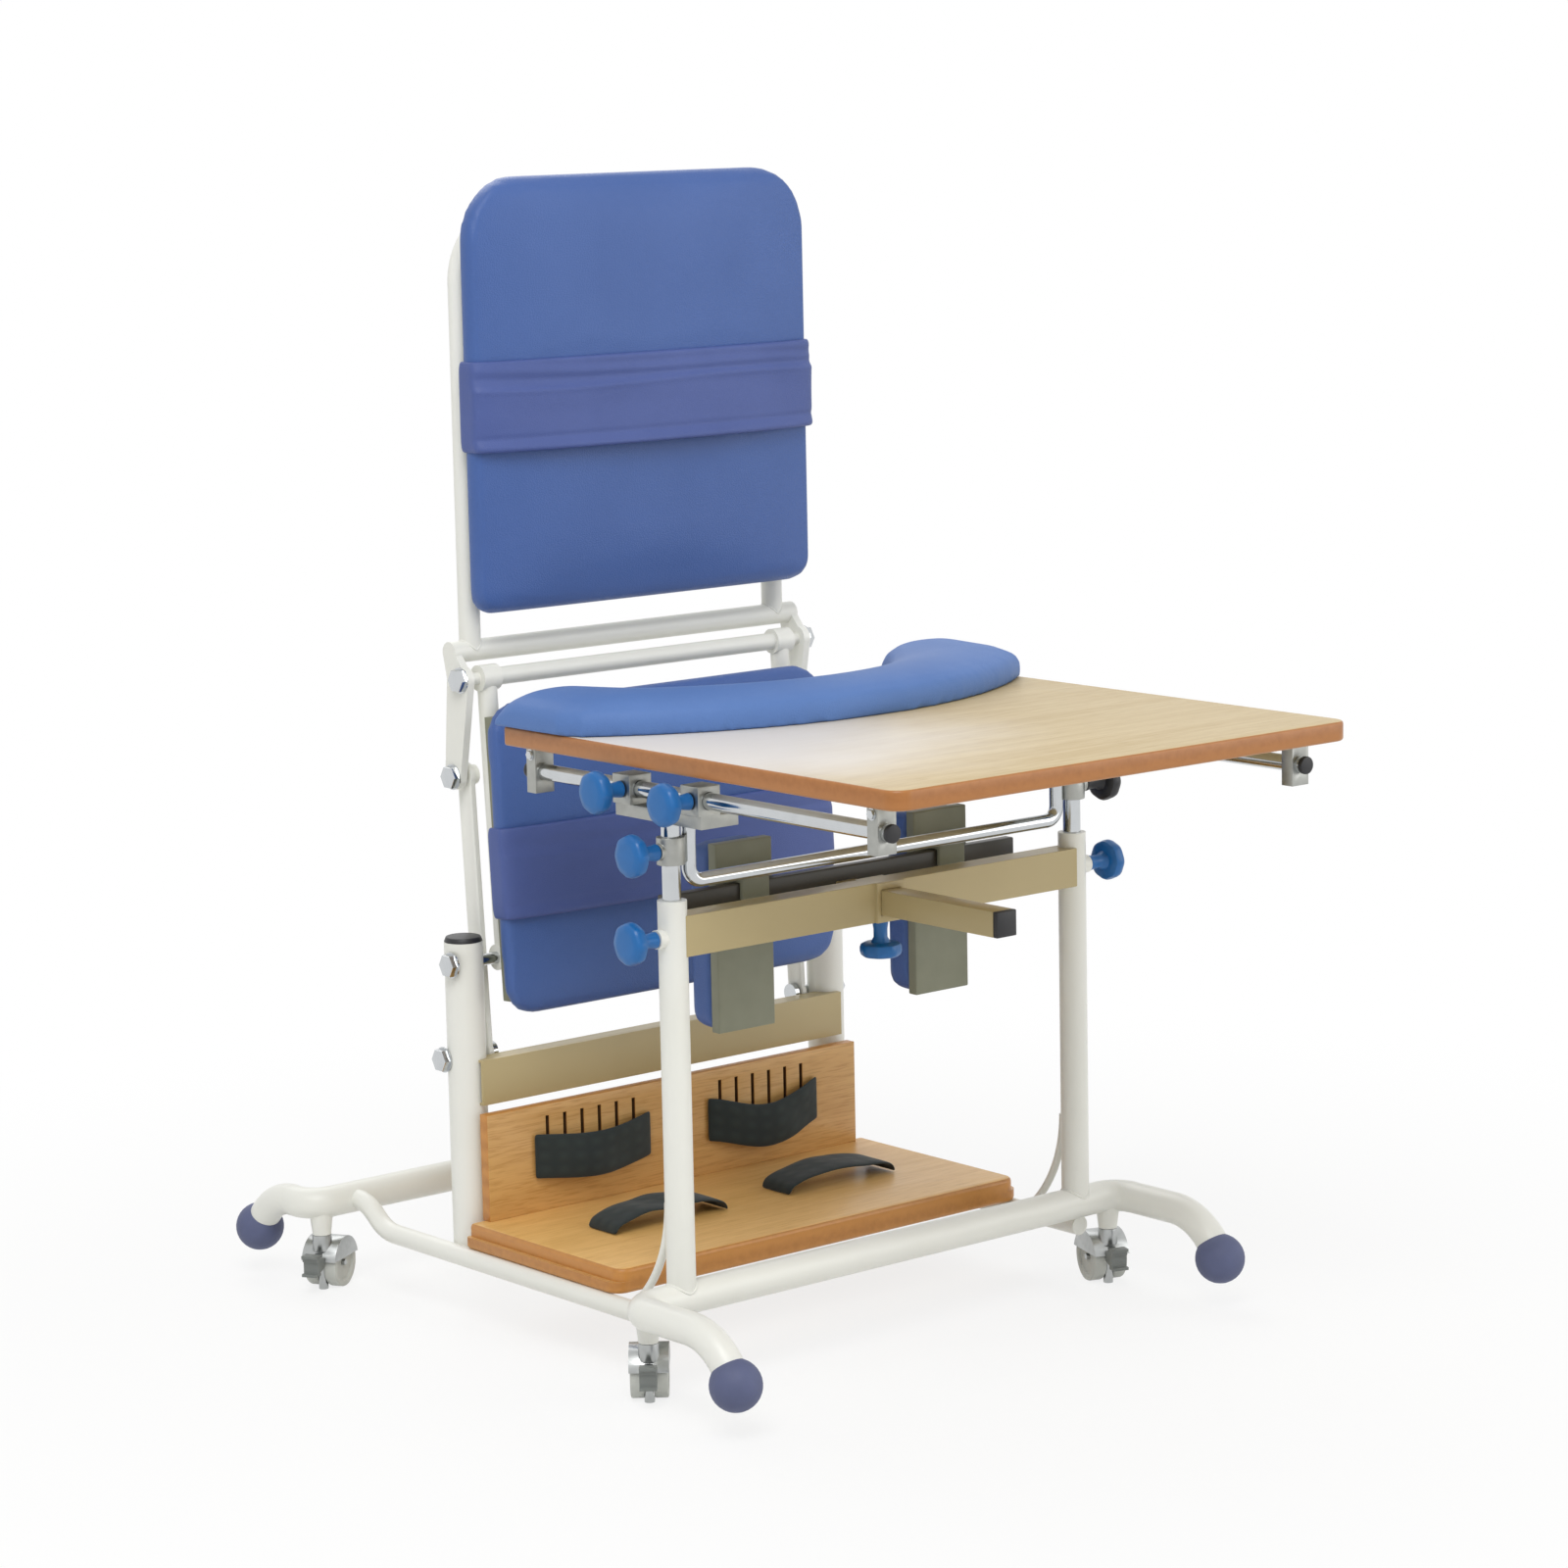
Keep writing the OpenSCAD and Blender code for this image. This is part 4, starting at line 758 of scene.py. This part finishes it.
@dataclass
class Cushion:
    """A foam pad under stretched vinyl, swollen by a cloth simulation and held flat where it rests."""

    node: str
    rest_axis: Vector
    fill: float
    voxel: float = 6.0 * MM
    ease: float = 0.8 * MM
    swell: float = 2.0 * MM
    free: float = 0.3
    band: Band | None = None
    cover: Finish = BLUE_VINYL
    frames: int = 20
    pressure: float = 2.5

    def build(self) -> Object:
        """Builds the cushion over its CAD node and returns the piece."""
        bm = copy_of(self.node)
        bmesh.ops.recalc_face_normals(bm, faces=bm.faces)
        piece = stand_in(bm, self.node, "cushion", (self.cover,), ALL_SMOOTH)
        self.remesh(piece)
        self.simulate(piece)
        subdivided(piece)
        return piece

    def remesh(self, piece: Object) -> None:
        """Gives the pad even faces of one voxel."""
        modifier = piece.modifiers.new("voxels", "REMESH")
        modifier.mode = "VOXEL"
        modifier.voxel_size = self.voxel
        modifier.use_smooth_shade = True
        swap_mesh(piece)

    def simulate(self, piece: Object) -> None:
        """Swells the eased face under pressure, with the rest of the pad held and its travel capped."""
        mesh = piece.data
        mesh.update()
        start = [v.co.copy() for v in mesh.vertices]
        normals = [v.normal.copy() for v in mesh.vertices]
        depths = [co.dot(self.rest_axis) for co in start]
        line = min(depths) + self.free * (max(depths) - min(depths))
        held = [depth > line for depth in depths]
        for vertex, normal, stays in zip(mesh.vertices, normals, held):
            if not stays:
                vertex.co -= normal * self.ease
        group = piece.vertex_groups.new(name="held")
        group.add([i for i, stays in enumerate(held) if stays], 1.0, "ADD")
        modifier = piece.modifiers.new("vinyl", "CLOTH")
        settings = modifier.settings
        settings.quality = 5
        settings.mass = 0.4
        settings.tension_stiffness = settings.compression_stiffness = 15
        settings.bending_stiffness = 8
        settings.use_pressure = True
        settings.uniform_pressure_force = self.pressure
        settings.effector_weights.gravity = 0
        settings.vertex_group_mass = group.name
        modifier.point_cache.frame_start = 1
        modifier.point_cache.frame_end = self.frames
        for number in range(1, self.frames + 1):
            bpy.context.scene.frame_set(number)
        swap_mesh(piece)
        bpy.context.scene.frame_set(1)
        for vertex, first, normal, stays in zip(piece.data.vertices, start, normals, held):
            vertex.co = first if stays else self.capped(first, vertex.co, normal)

    def capped(self, first: Vector, moved: Vector, normal: Vector) -> Vector:
        """Limits how far a point stands proud of where the pad began.

        Args:
            first: Place before easing.
            moved: Place after the simulation.
            normal: Outward direction there.

        Returns:
            The place to keep.
        """
        most = self.swell * (1 - (self.band.pressed(first.z) if self.band else 0.0))
        travel = moved - first
        out = travel.dot(normal)
        return moved - normal * (out - most) if out > most else moved


def swap_mesh(piece: Object) -> None:
    """Applies a piece's modifiers to its mesh."""
    graph = bpy.context.evaluated_depsgraph_get()
    graph.update()
    made = bpy.data.meshes.new_from_object(piece.evaluated_get(graph))
    old = piece.data
    piece.modifiers.clear()
    piece.data = made
    made.name = old.name
    bpy.data.meshes.remove(old)
    made.polygons.foreach_set("use_smooth", [True] * len(made.polygons))


def strip(path: Sequence[Vector], across: Vector, width: float, rows: int) -> BMesh:
    """Sweeps a path sideways into a sheet with a map of its own length and width.

    Args:
        path: Points along the sheet.
        across: Direction of the width.
        width: Width of the sheet in metres.
        rows: Faces across the width.

    Returns:
        The sheet, with a UV map in metres.
    """
    bm = bmesh.new()
    row = [bm.verts.new(p - across * width / 2) for p in path]
    edges = [bm.edges.new(pair) for pair in zip(row, row[1:])]
    for _ in range(rows):
        made = bmesh.ops.extrude_edge_only(bm, edges=edges)["geom"]
        bmesh.ops.translate(bm, verts=[g for g in made if isinstance(g, BMVert)],
                            vec=across * width / rows)
        edges = [g for g in made if isinstance(g, BMEdge)
                 and abs((g.verts[1].co - g.verts[0].co).dot(across)) < width / rows / 2]
    lengths = [0.0]
    for a, b in zip(path, path[1:]):
        lengths.append(lengths[-1] + (b - a).length)
    layer = bm.loops.layers.uv.new("weave")
    for face in bm.faces:
        for loop in face.loops:
            co = loop.vert.co
            flat = co - across * co.dot(across)
            near = min(range(len(path)),
                       key=lambda i: (flat - (path[i] - across * path[i].dot(across))).length_squared)
            loop[layer].uv = (lengths[near], co.dot(across))
    bmesh.ops.recalc_face_normals(bm, faces=bm.faces)
    return bm


def superellipse(half: float, depth: float, crown: float, steps: int) -> list[Vector]:
    """Plan outline round the front and sides of a pad, from its left rear edge to its right one.

    Args:
        half: Half width in metres.
        depth: Depth from the rear edge to the front corners.
        crown: How far the middle stands ahead of the corners.
        steps: Number of stretches.

    Returns:
        Points at height 0, with the front towards -Y.
    """
    power, draw = 0.4, math.radians(14)
    base = math.sin(draw) ** power
    points = []
    for i in range(steps + 1):
        turn = -draw + (math.pi + 2 * draw) * i / steps
        x = -math.copysign(abs(math.cos(turn)) ** power, math.cos(turn))
        y = math.copysign(abs(math.sin(turn)) ** power, math.sin(turn))
        ahead = crown * (1 - x * x) * max(math.sin(turn), 0.0)
        points.append(Vector((half * x, -depth / (1 + base) * (y + base) - ahead, 0.0)))
    return points


def bell(offset: float, width: float) -> float:
    """Bell curve of height 1 at offset 0."""
    return math.exp(-(offset / width) ** 2)


@dataclass(frozen=True)
class Folds:
    """Heights of a belt's folds in metres. Their places run from -1, its lower edge, to 1, its upper one."""

    lap: float = 2.8 * MM
    lap_at: float = 0.42
    ridge: float = 1.0 * MM
    pull: float = 0.9 * MM
    seam: float = 1.4 * MM
    seam_at: float = -0.7
    drape: float = 1.2 * MM
    lip: float = 2.2 * MM
    lip_at: float = -0.93
    flare: float = 9.0 * MM
    flare_at: float = 0.3
    settle: float = 1.6 * MM

    def height(self, share: float, x: float, reach: float) -> float:
        """Returns how far the folds stand out at a point.

        Args:
            share: Place across the belt, from -1 to 1.
            x: Place along the belt's front, from the middle.
            reach: Half length of the front.

        Returns:
            Height in metres.
        """
        lap_at = self.lap_at + 0.05 * math.sin(x * 14)
        lap = self.lap / (1 + math.exp((share - lap_at) / 0.025))
        ridge = self.ridge * bell(share - lap_at + 0.06, 0.06)
        wander = 3 * noise.noise(Vector((x * 6, 0.7, share)))
        pulls = self.pull * math.sin(share * 21 + x * 9 + wander)
        creases = pulls * min(1.0, max(0.0, (share - lap_at) * 6)) * (1 - share ** 8)
        seam = -self.seam * bell(share - self.seam_at, 0.05)
        drape = self.drape * noise.noise(Vector((x * 9, 0.3, share * 2.2)))
        lip = self.lip * bell(share - self.lip_at, 0.09)
        below = max(0.0, (self.flare_at - share) / (1 + self.flare_at))
        flare = self.flare * below ** 2 * max(0.0, 1 - (x / reach) ** 2)
        return lap + ridge + creases + seam + drape + lip + flare - self.settle


@dataclass
class Belt:
    """A padded belt round a cushion: soft rolled edges, a sewn channel and slack creases."""

    node: str
    thickness: float
    crown: float
    slack: float = 1.0
    tilt: float = 0.0
    pivot: Vector = field(default_factory=Vector)
    tuck: float = 14.0 * MM
    rows: int = 36
    steps: int = 150
    roll: float = 2.0 * MM
    folds: Folds = Folds()

    def build(self) -> Object:
        """Builds the belt over its CAD node and returns the piece."""
        lean = (Matrix.Translation(self.pivot) @ Matrix.Rotation(self.tilt, 4, "X")
                @ Matrix.Translation(-self.pivot))
        corners = [lean.inverted() @ v.co for v in frame["nodes"][self.node].data.vertices]
        low = Vector([min(c[i] for c in corners) for i in range(3)])
        high = Vector([max(c[i] for c in corners) for i in range(3)])
        rear = high.y - self.tuck
        outline = superellipse(high.x, rear - low.y - self.crown, self.crown, self.steps)
        path = [p + Vector((0.0, rear, (low.z + high.z) / 2)) for p in outline]
        bm = strip(path, UP, high.z - low.z, self.rows)
        self.crumple(bm, low, high)
        bmesh.ops.solidify(bm, geom=bm.faces, thickness=self.thickness)
        bmesh.ops.transform(bm, matrix=lean, verts=bm.verts)
        piece = stand_in(bm, self.node, "padded", (BELT_VINYL,), ALL_SMOOTH)
        subdivided(piece)
        return piece

    def crumple(self, bm: BMesh, low: Vector, high: Vector) -> None:
        """Rolls the edges in, laps the lower flap over the upper one and lets its lip stand off.

        Args:
            bm: The flat sheet round the pad.
            low: Lowest corner of the belt.
            high: Highest corner of the belt.
        """
        bm.normal_update()
        middle, half = (low.z + high.z) / 2, (high.z - low.z) / 2
        for vertex in bm.verts:
            share = (vertex.co.z - middle) / half
            front = max(0.0, -vertex.normal.y)
            loose = self.folds.height(share, vertex.co.x, high.x)
            roll = -self.roll * abs(share) ** 11
            vertex.co += vertex.normal * (roll + self.slack * loose * front)


@dataclass
class FootStrap:
    """A webbing strap arched over a foot, screwed down at both ends."""

    name: str
    start: Vector
    end: Vector
    out: Vector
    width: float
    rise: float
    droop: float = 0.0
    slump: float = 0.0
    fullness: float = 0.8
    thickness: float = 2.6 * MM
    steps: int = 40
    rows: int = 8
    ripple: float = 4.0 * MM
    cup: float = 1.6 * MM

    def build(self) -> Object:
        """Builds the strap and returns the piece."""
        along = self.end - self.start
        across = self.out.cross(along).normalized()
        path = []
        for i in range(self.steps + 1):
            share = i / self.steps
            arch = max(0.0, math.sin(math.pi * share)) ** self.fullness
            path.append(self.start + along * share + self.out * (self.rise * arch + self.thickness / 2))
        bm = strip(path, across, self.width, self.rows)
        self.wave(bm, along, across)
        bmesh.ops.solidify(bm, geom=bm.faces, thickness=self.thickness)
        return subdivided(finished(bm, self.name, "base", (STRAP_WEB,), crease=ALL_SMOOTH))

    def wave(self, bm: BMesh, along: Vector, across: Vector) -> None:
        """Lets the webbing droop, cup and slump to its front between its ends.

        Args:
            bm: The arched sheet.
            along: From one end to the other.
            across: Direction of the strap's width.
        """
        for vertex in bm.verts:
            share = (vertex.co - self.start).dot(along) / along.length_squared
            free = math.sin(math.pi * min(1.0, max(0.0, share)))
            side = (vertex.co - self.start).dot(across) / (self.width / 2)
            vertex.co.z -= self.droop * free ** 1.5
            sunk = self.slump * self.rise * free ** 0.8 * (1 - side) / 2
            ripple = noise.noise(vertex.co * 24) * self.ripple * free - self.cup * side * side * free
            vertex.co += self.out * (ripple - sunk)


@dataclass
class FootStraps:
    """The toe and heel straps of the footplate, in place of one CAD node."""

    node: str = "foot_straps"
    half: float = 75.0 * MM
    width: float = 46.0 * MM
    margin: float = 2.0 * MM
    toe_rise: float = 21.0 * MM
    toe_slump: float = 0.15
    toe_fullness: float = 0.4
    heel_rise: float = 15.0 * MM
    droops: tuple[float, float] = (6.0 * MM, 15.0 * MM)

    def build(self) -> list[Object]:
        """Builds four straps and returns the pieces."""
        low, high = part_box(self.node)
        top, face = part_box("foot_board")[1].z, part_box("heel_panel")[0].y
        centre = high.x - self.half
        toe_y = low.y + (self.width + self.margin) / 2
        heel_z = high.z - (self.width + self.margin) / 2
        reach = RIGHT * (self.half - self.margin)
        made = []
        for side, hand, droop in zip(BOTH_SIDES, ("left", "right"), self.droops):
            toe, heel = Vector((side * centre, toe_y, top)), Vector((side * centre, face, heel_z))
            made.append(FootStrap(f"toe_strap_{hand}", toe - reach, toe + reach, UP, self.width,
                                  self.toe_rise, 0.0, self.toe_slump, self.toe_fullness).build())
            made.append(FootStrap(f"heel_strap_{hand}", heel - reach, heel + reach, FRONT, self.width,
                                  self.heel_rise, droop).build())
        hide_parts(self.node)
        return made


@dataclass
class ClampKnob:
    """A lobed hand knob on its clamp screw, turned about its joint's axis."""

    node: str
    disc: float = 14.0 * MM
    lobes: int = 8
    lobe_depth: float = 0.04
    lobe_from: float = 0.6
    steps: int = 72

    def build(self) -> Object:
        """Builds the knob over its CAD node and returns the piece."""
        joint = next(j for j in frame["joints"] if j["child"] == self.node)
        axis, foot = Vector(joint["axis"]).normalized(), Vector(joint["pos_m"])
        corners = [v.co - foot for v in frame["nodes"][self.node].data.vertices]
        heights = [c.dot(axis) for c in corners]
        radius = max((c - axis * height).length for c, height in zip(corners, heights))
        bm = stood(self.turned(radius, max(heights), -min(heights)), foot, axis)
        return stand_in(bm, self.node, "grip", (finish_of(self.node), CASTER_STEEL), crease=40.0)

    def turned(self, radius: float, height: float, reach: float) -> BMesh:
        """Spins the knob's profile and scallops its rim.

        Args:
            radius: Outside radius of the knob.
            height: Height of the knob above its foot.
            reach: Length of the screw below the foot.

        Returns:
            The knob with its foot on the XY plane.
        """
        disc, neck = self.disc, height - self.disc
        profile = [
            (0.0, -reach), (3.2 * MM, -reach), (4.0 * MM, -reach + 0.8 * MM), (4.0 * MM, 0.0),
            (7.5 * MM, 0.0), (8.0 * MM, 0.6 * MM), (6.8 * MM, neck * 0.4), (6.8 * MM, neck * 0.75),
            (9.5 * MM, neck - 0.6 * MM), (radius * 0.8, neck), (radius * 0.94, neck + disc * 0.1),
            (radius, neck + disc * 0.32), (radius, neck + disc * 0.6), (radius * 0.95, neck + disc * 0.82),
            (radius * 0.84, neck + disc * 0.95), (radius * 0.55, height), (0.0, height),
        ]
        bm = bmesh.new()
        verts = [bm.verts.new((r, 0.0, z)) for r, z in profile]
        edges = [bm.edges.new(pair) for pair in zip(verts, verts[1:])]
        bmesh.ops.spin(bm, geom=verts + edges, cent=(0, 0, 0), axis=UP, angle=math.tau, steps=self.steps,
                       use_merge=True)
        bmesh.ops.remove_doubles(bm, verts=bm.verts, dist=MERGE)
        bmesh.ops.recalc_face_normals(bm, faces=bm.faces)
        for vertex in bm.verts:
            x, y, z = vertex.co
            share = max(0.0, (math.hypot(x, y) / radius - self.lobe_from) / (1 - self.lobe_from))
            wave = 0.5 - 0.5 * math.cos(self.lobes * math.atan2(y, x))
            scallop = 1 - self.lobe_depth * share * wave
            vertex.co = (x * scallop, y * scallop, z)
        for face in bm.faces:
            face.material_index = 1 if face.calc_center_median().z < 0 else 0
        return bm


def rays_of(tree: NodeTree, *kinds: str) -> NodeSocket:
    """Returns an output that is 1 on light paths of the given kinds and 0 on all others."""
    path = wire(tree, "LightPath")
    share, *others = (path.outputs[f"Is {kind} Ray"] for kind in kinds)
    for other in others:
        share = maths(tree, "MAXIMUM", share, other)
    return share


@dataclass(frozen=True)
class Lamp:
    """A soft square lamp, with its place and side in metres and its power in watts."""

    name: str
    place: tuple[float, float, float]
    side: float
    power: float

    def hang(self, target: Vector) -> None:
        """Hangs the lamp and aims it at a point."""
        data = bpy.data.lights.new(self.name, "AREA")
        data.size, data.energy = self.side, self.power
        lamp = placed(self.name, data)
        lamp.location = self.place
        lamp.rotation_euler = (target - Vector(self.place)).to_track_quat("-Z", "Y").to_euler()


@dataclass
class Studio:
    """Pale floor, soft lamps, white surround and the camera at the photograph's viewing angle."""

    place: tuple[float, float, float] = (-2.7621, -3.3413, 1.2344)
    azimuth: float = -39.691
    elevation: float = 9.158
    roll: float = -1.186
    lens: float = 101.72
    sensor: float = 36.0
    ambient: float = 0.5
    floor_half: float = 30.0
    floor_colour: str = "#F4F4F2"
    glare: float = 0.8
    glare_near: float = 0.5
    glare_far: float = 1.5
    target: tuple[float, float, float] = (0.0, 0.0, 0.55)
    lamps: tuple[Lamp, ...] = (
        Lamp("key_lamp", (-2.0, -1.8, 3.6), 2.2, 84.0),
        Lamp("fill_lamp", (2.6, -3.0, 1.6), 2.6, 34.0),
        Lamp("back_lamp", (0.8, 2.6, 3.2), 2.4, 34.0),
    )

    def build(self) -> None:
        """Builds the camera, the floor, the lamps and the surround."""
        self.camera()
        self.floor()
        for lamp in self.lamps:
            lamp.hang(Vector(self.target))
        self.surround()
        bpy.context.scene.view_settings.view_transform = "Standard"

    def camera(self) -> None:
        """Places the camera and makes it the scene's own."""
        turn, rise, roll = (math.radians(a) for a in (self.azimuth, self.elevation, self.roll))
        data = bpy.data.cameras.new("camera")
        data.lens, data.sensor_width = self.lens, self.sensor
        camera = placed("camera", data)
        level = Matrix.Translation(self.place) @ Matrix.Rotation(turn, 4, "Z")
        camera.matrix_world = level @ Matrix.Rotation(math.pi / 2 - rise, 4, "X") @ Matrix.Rotation(roll, 4, "Z")
        bpy.context.scene.camera = camera

    def floor(self) -> None:
        """Lays a pale floor that keeps a soft shadow."""
        bm = bmesh.new()
        bmesh.ops.create_grid(bm, x_segments=1, y_segments=1, size=self.floor_half)
        mesh = mesh_of(bm, "floor")
        paint = bpy.data.materials.new("pale_floor")
        paint.use_nodes = True
        tree = paint.node_tree
        tree.nodes.clear()
        away = vector_maths(tree, "LENGTH", place_on(tree))
        glare = ranged(tree, away.outputs["Value"], "SMOOTHSTEP", from_min=self.glare_near,
                       from_max=self.glare_far, to_min=self.glare, to_max=1.0)
        share = maths(tree, "MULTIPLY", rays_of(tree, "Camera", "Glossy"), glare)
        matt = wire(tree, "BsdfDiffuse", None, {"Color": linear(self.floor_colour)})
        glow = wire(tree, "Emission", None, {"Color": WHITE, "Strength": 1.0})
        mix = wire(tree, "MixShader", None, {0: share, 1: matt.outputs[0], 2: glow.outputs[0]})
        wire(tree, "OutputMaterial", None, {"Surface": mix.outputs[0]})
        mesh.materials.append(paint)
        floor = placed("floor", mesh)

    def surround(self) -> None:
        """Surrounds the scene with white that the camera and reflections see at full strength."""
        world = bpy.data.worlds.new("surround")
        world.use_nodes = True
        tree = world.node_tree
        tree.nodes.clear()
        seen = rays_of(tree, "Camera", "Glossy", "Transmission")
        light = wire(tree, "Background", None, {"Color": WHITE, "Strength": self.ambient})
        view = wire(tree, "Background", None, {"Color": WHITE, "Strength": 1.0})
        mix = wire(tree, "MixShader", None, {0: seen, 1: light.outputs[0], 2: view.outputs[0]})
        wire(tree, "OutputWorld", None, {"Surface": mix.outputs[0]})
        bpy.context.scene.world = world


@dataclass
class Dressing:
    """Every sub-assembly of the standing frame's looks, in the order it is built."""

    def build(self) -> None:
        """Dresses the CAD nodes and builds the new pieces."""
        self.paint_nodes()
        self.boards()
        self.castings()
        Welds().build()
        Hardware().build()
        self.upholstery()
        FootStraps().build()
        for joint in frame["joints"]:
            if joint["child"].startswith("knob_"):
                ClampKnob(joint["child"]).build()

    def paint_nodes(self) -> None:
        """Gives every CAD node its finish."""
        for name, node in frame["nodes"].items():
            node.data.materials.clear()
            node.data.materials.append(finish_of(name).material())

    def boards(self) -> None:
        """Builds the wooden boards and the boards behind the knee pads."""
        Board("tray_board", OAK_TOP, OAK_EDGE, UP, 3.0 * MM).build()
        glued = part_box("foot_base")[1].z
        Board("foot_base", PLY_TOP, PLY_EDGE, UP, 4.0 * MM, 16.0 * MM, glued).build()
        Board("foot_board", LIT_TREAD_TOP, PLY_EDGE, UP, 4.0 * MM, 14.0 * MM, glued).build()
        Board("heel_panel", PLY_TOP, PLY_EDGE, REAR, 1.2 * MM, slot_wall=SLOT_SHADE).build()
        for node in ("knee_board_l", "knee_board_r"):
            Board(node, BOARD_LAMINATE, BOARD_LAMINATE, REAR, 1.5 * MM).build()

    def castings(self) -> None:
        """Eases the edges of the castings, pressings and mouldings."""
        easing = {"column_heads": 1.2, "tray_hangers": 1.0, "front_beam": 2.0, "knee_arm": 2.0,
                  "knee_plug": 1.2, "knee_bar": 1.5, "rear_cross_bar": 2.5, "post_caps": 0.8,
                  "slide_caps": 0.8, "link_bars": 0.8}
        easing |= {f"{part}_{spot}": width for spot in ("fl", "fr", "rl", "rr")
                   for part, width in (("wheels", 1.6), ("fork", 0.5), ("pedal", 0.6))}
        for node, width in easing.items():
            Eased(node, width * MM).build()

    def upholstery(self) -> None:
        """Builds the cushions and the belts that press on them."""
        pivot, upper = pivot_of("seat_tilt"), pivot_of("back_level")
        tilt = -math.atan2(upper.y - pivot.y, upper.z - pivot.z)
        lean = Vector((0, math.cos(tilt), math.sin(tilt)))
        chest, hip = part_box("chest_belt"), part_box("hip_belt")
        Cushion("back_pad", REAR, 0.8, band=Band(chest[0].z, chest[1].z)).build()
        Cushion("seat_pad", lean, 0.8, band=Band(hip[0].z, hip[1].z)).build()
        Cushion("tray_pad", -UP, 0.85, voxel=5.0 * MM, cover=TRAY_VINYL).build()
        for hand in ("l", "r"):
            Cushion(f"knee_pad_{hand}", FRONT, 0.85, voxel=4.0 * MM).build()
        Belt("chest_belt", 5.0 * MM, 5.0 * MM).build()
        Belt("hip_belt", 5.0 * MM, 4.0 * MM, 0.4, tilt, pivot, 11.0 * MM).build()


def main() -> None:
    """Builds the studio and the dressing."""
    logging.basicConfig(level=logging.INFO, format="%(name)s: %(message)s")
    Studio().build()
    Dressing().build()


if __name__ == "__main__":
    main()
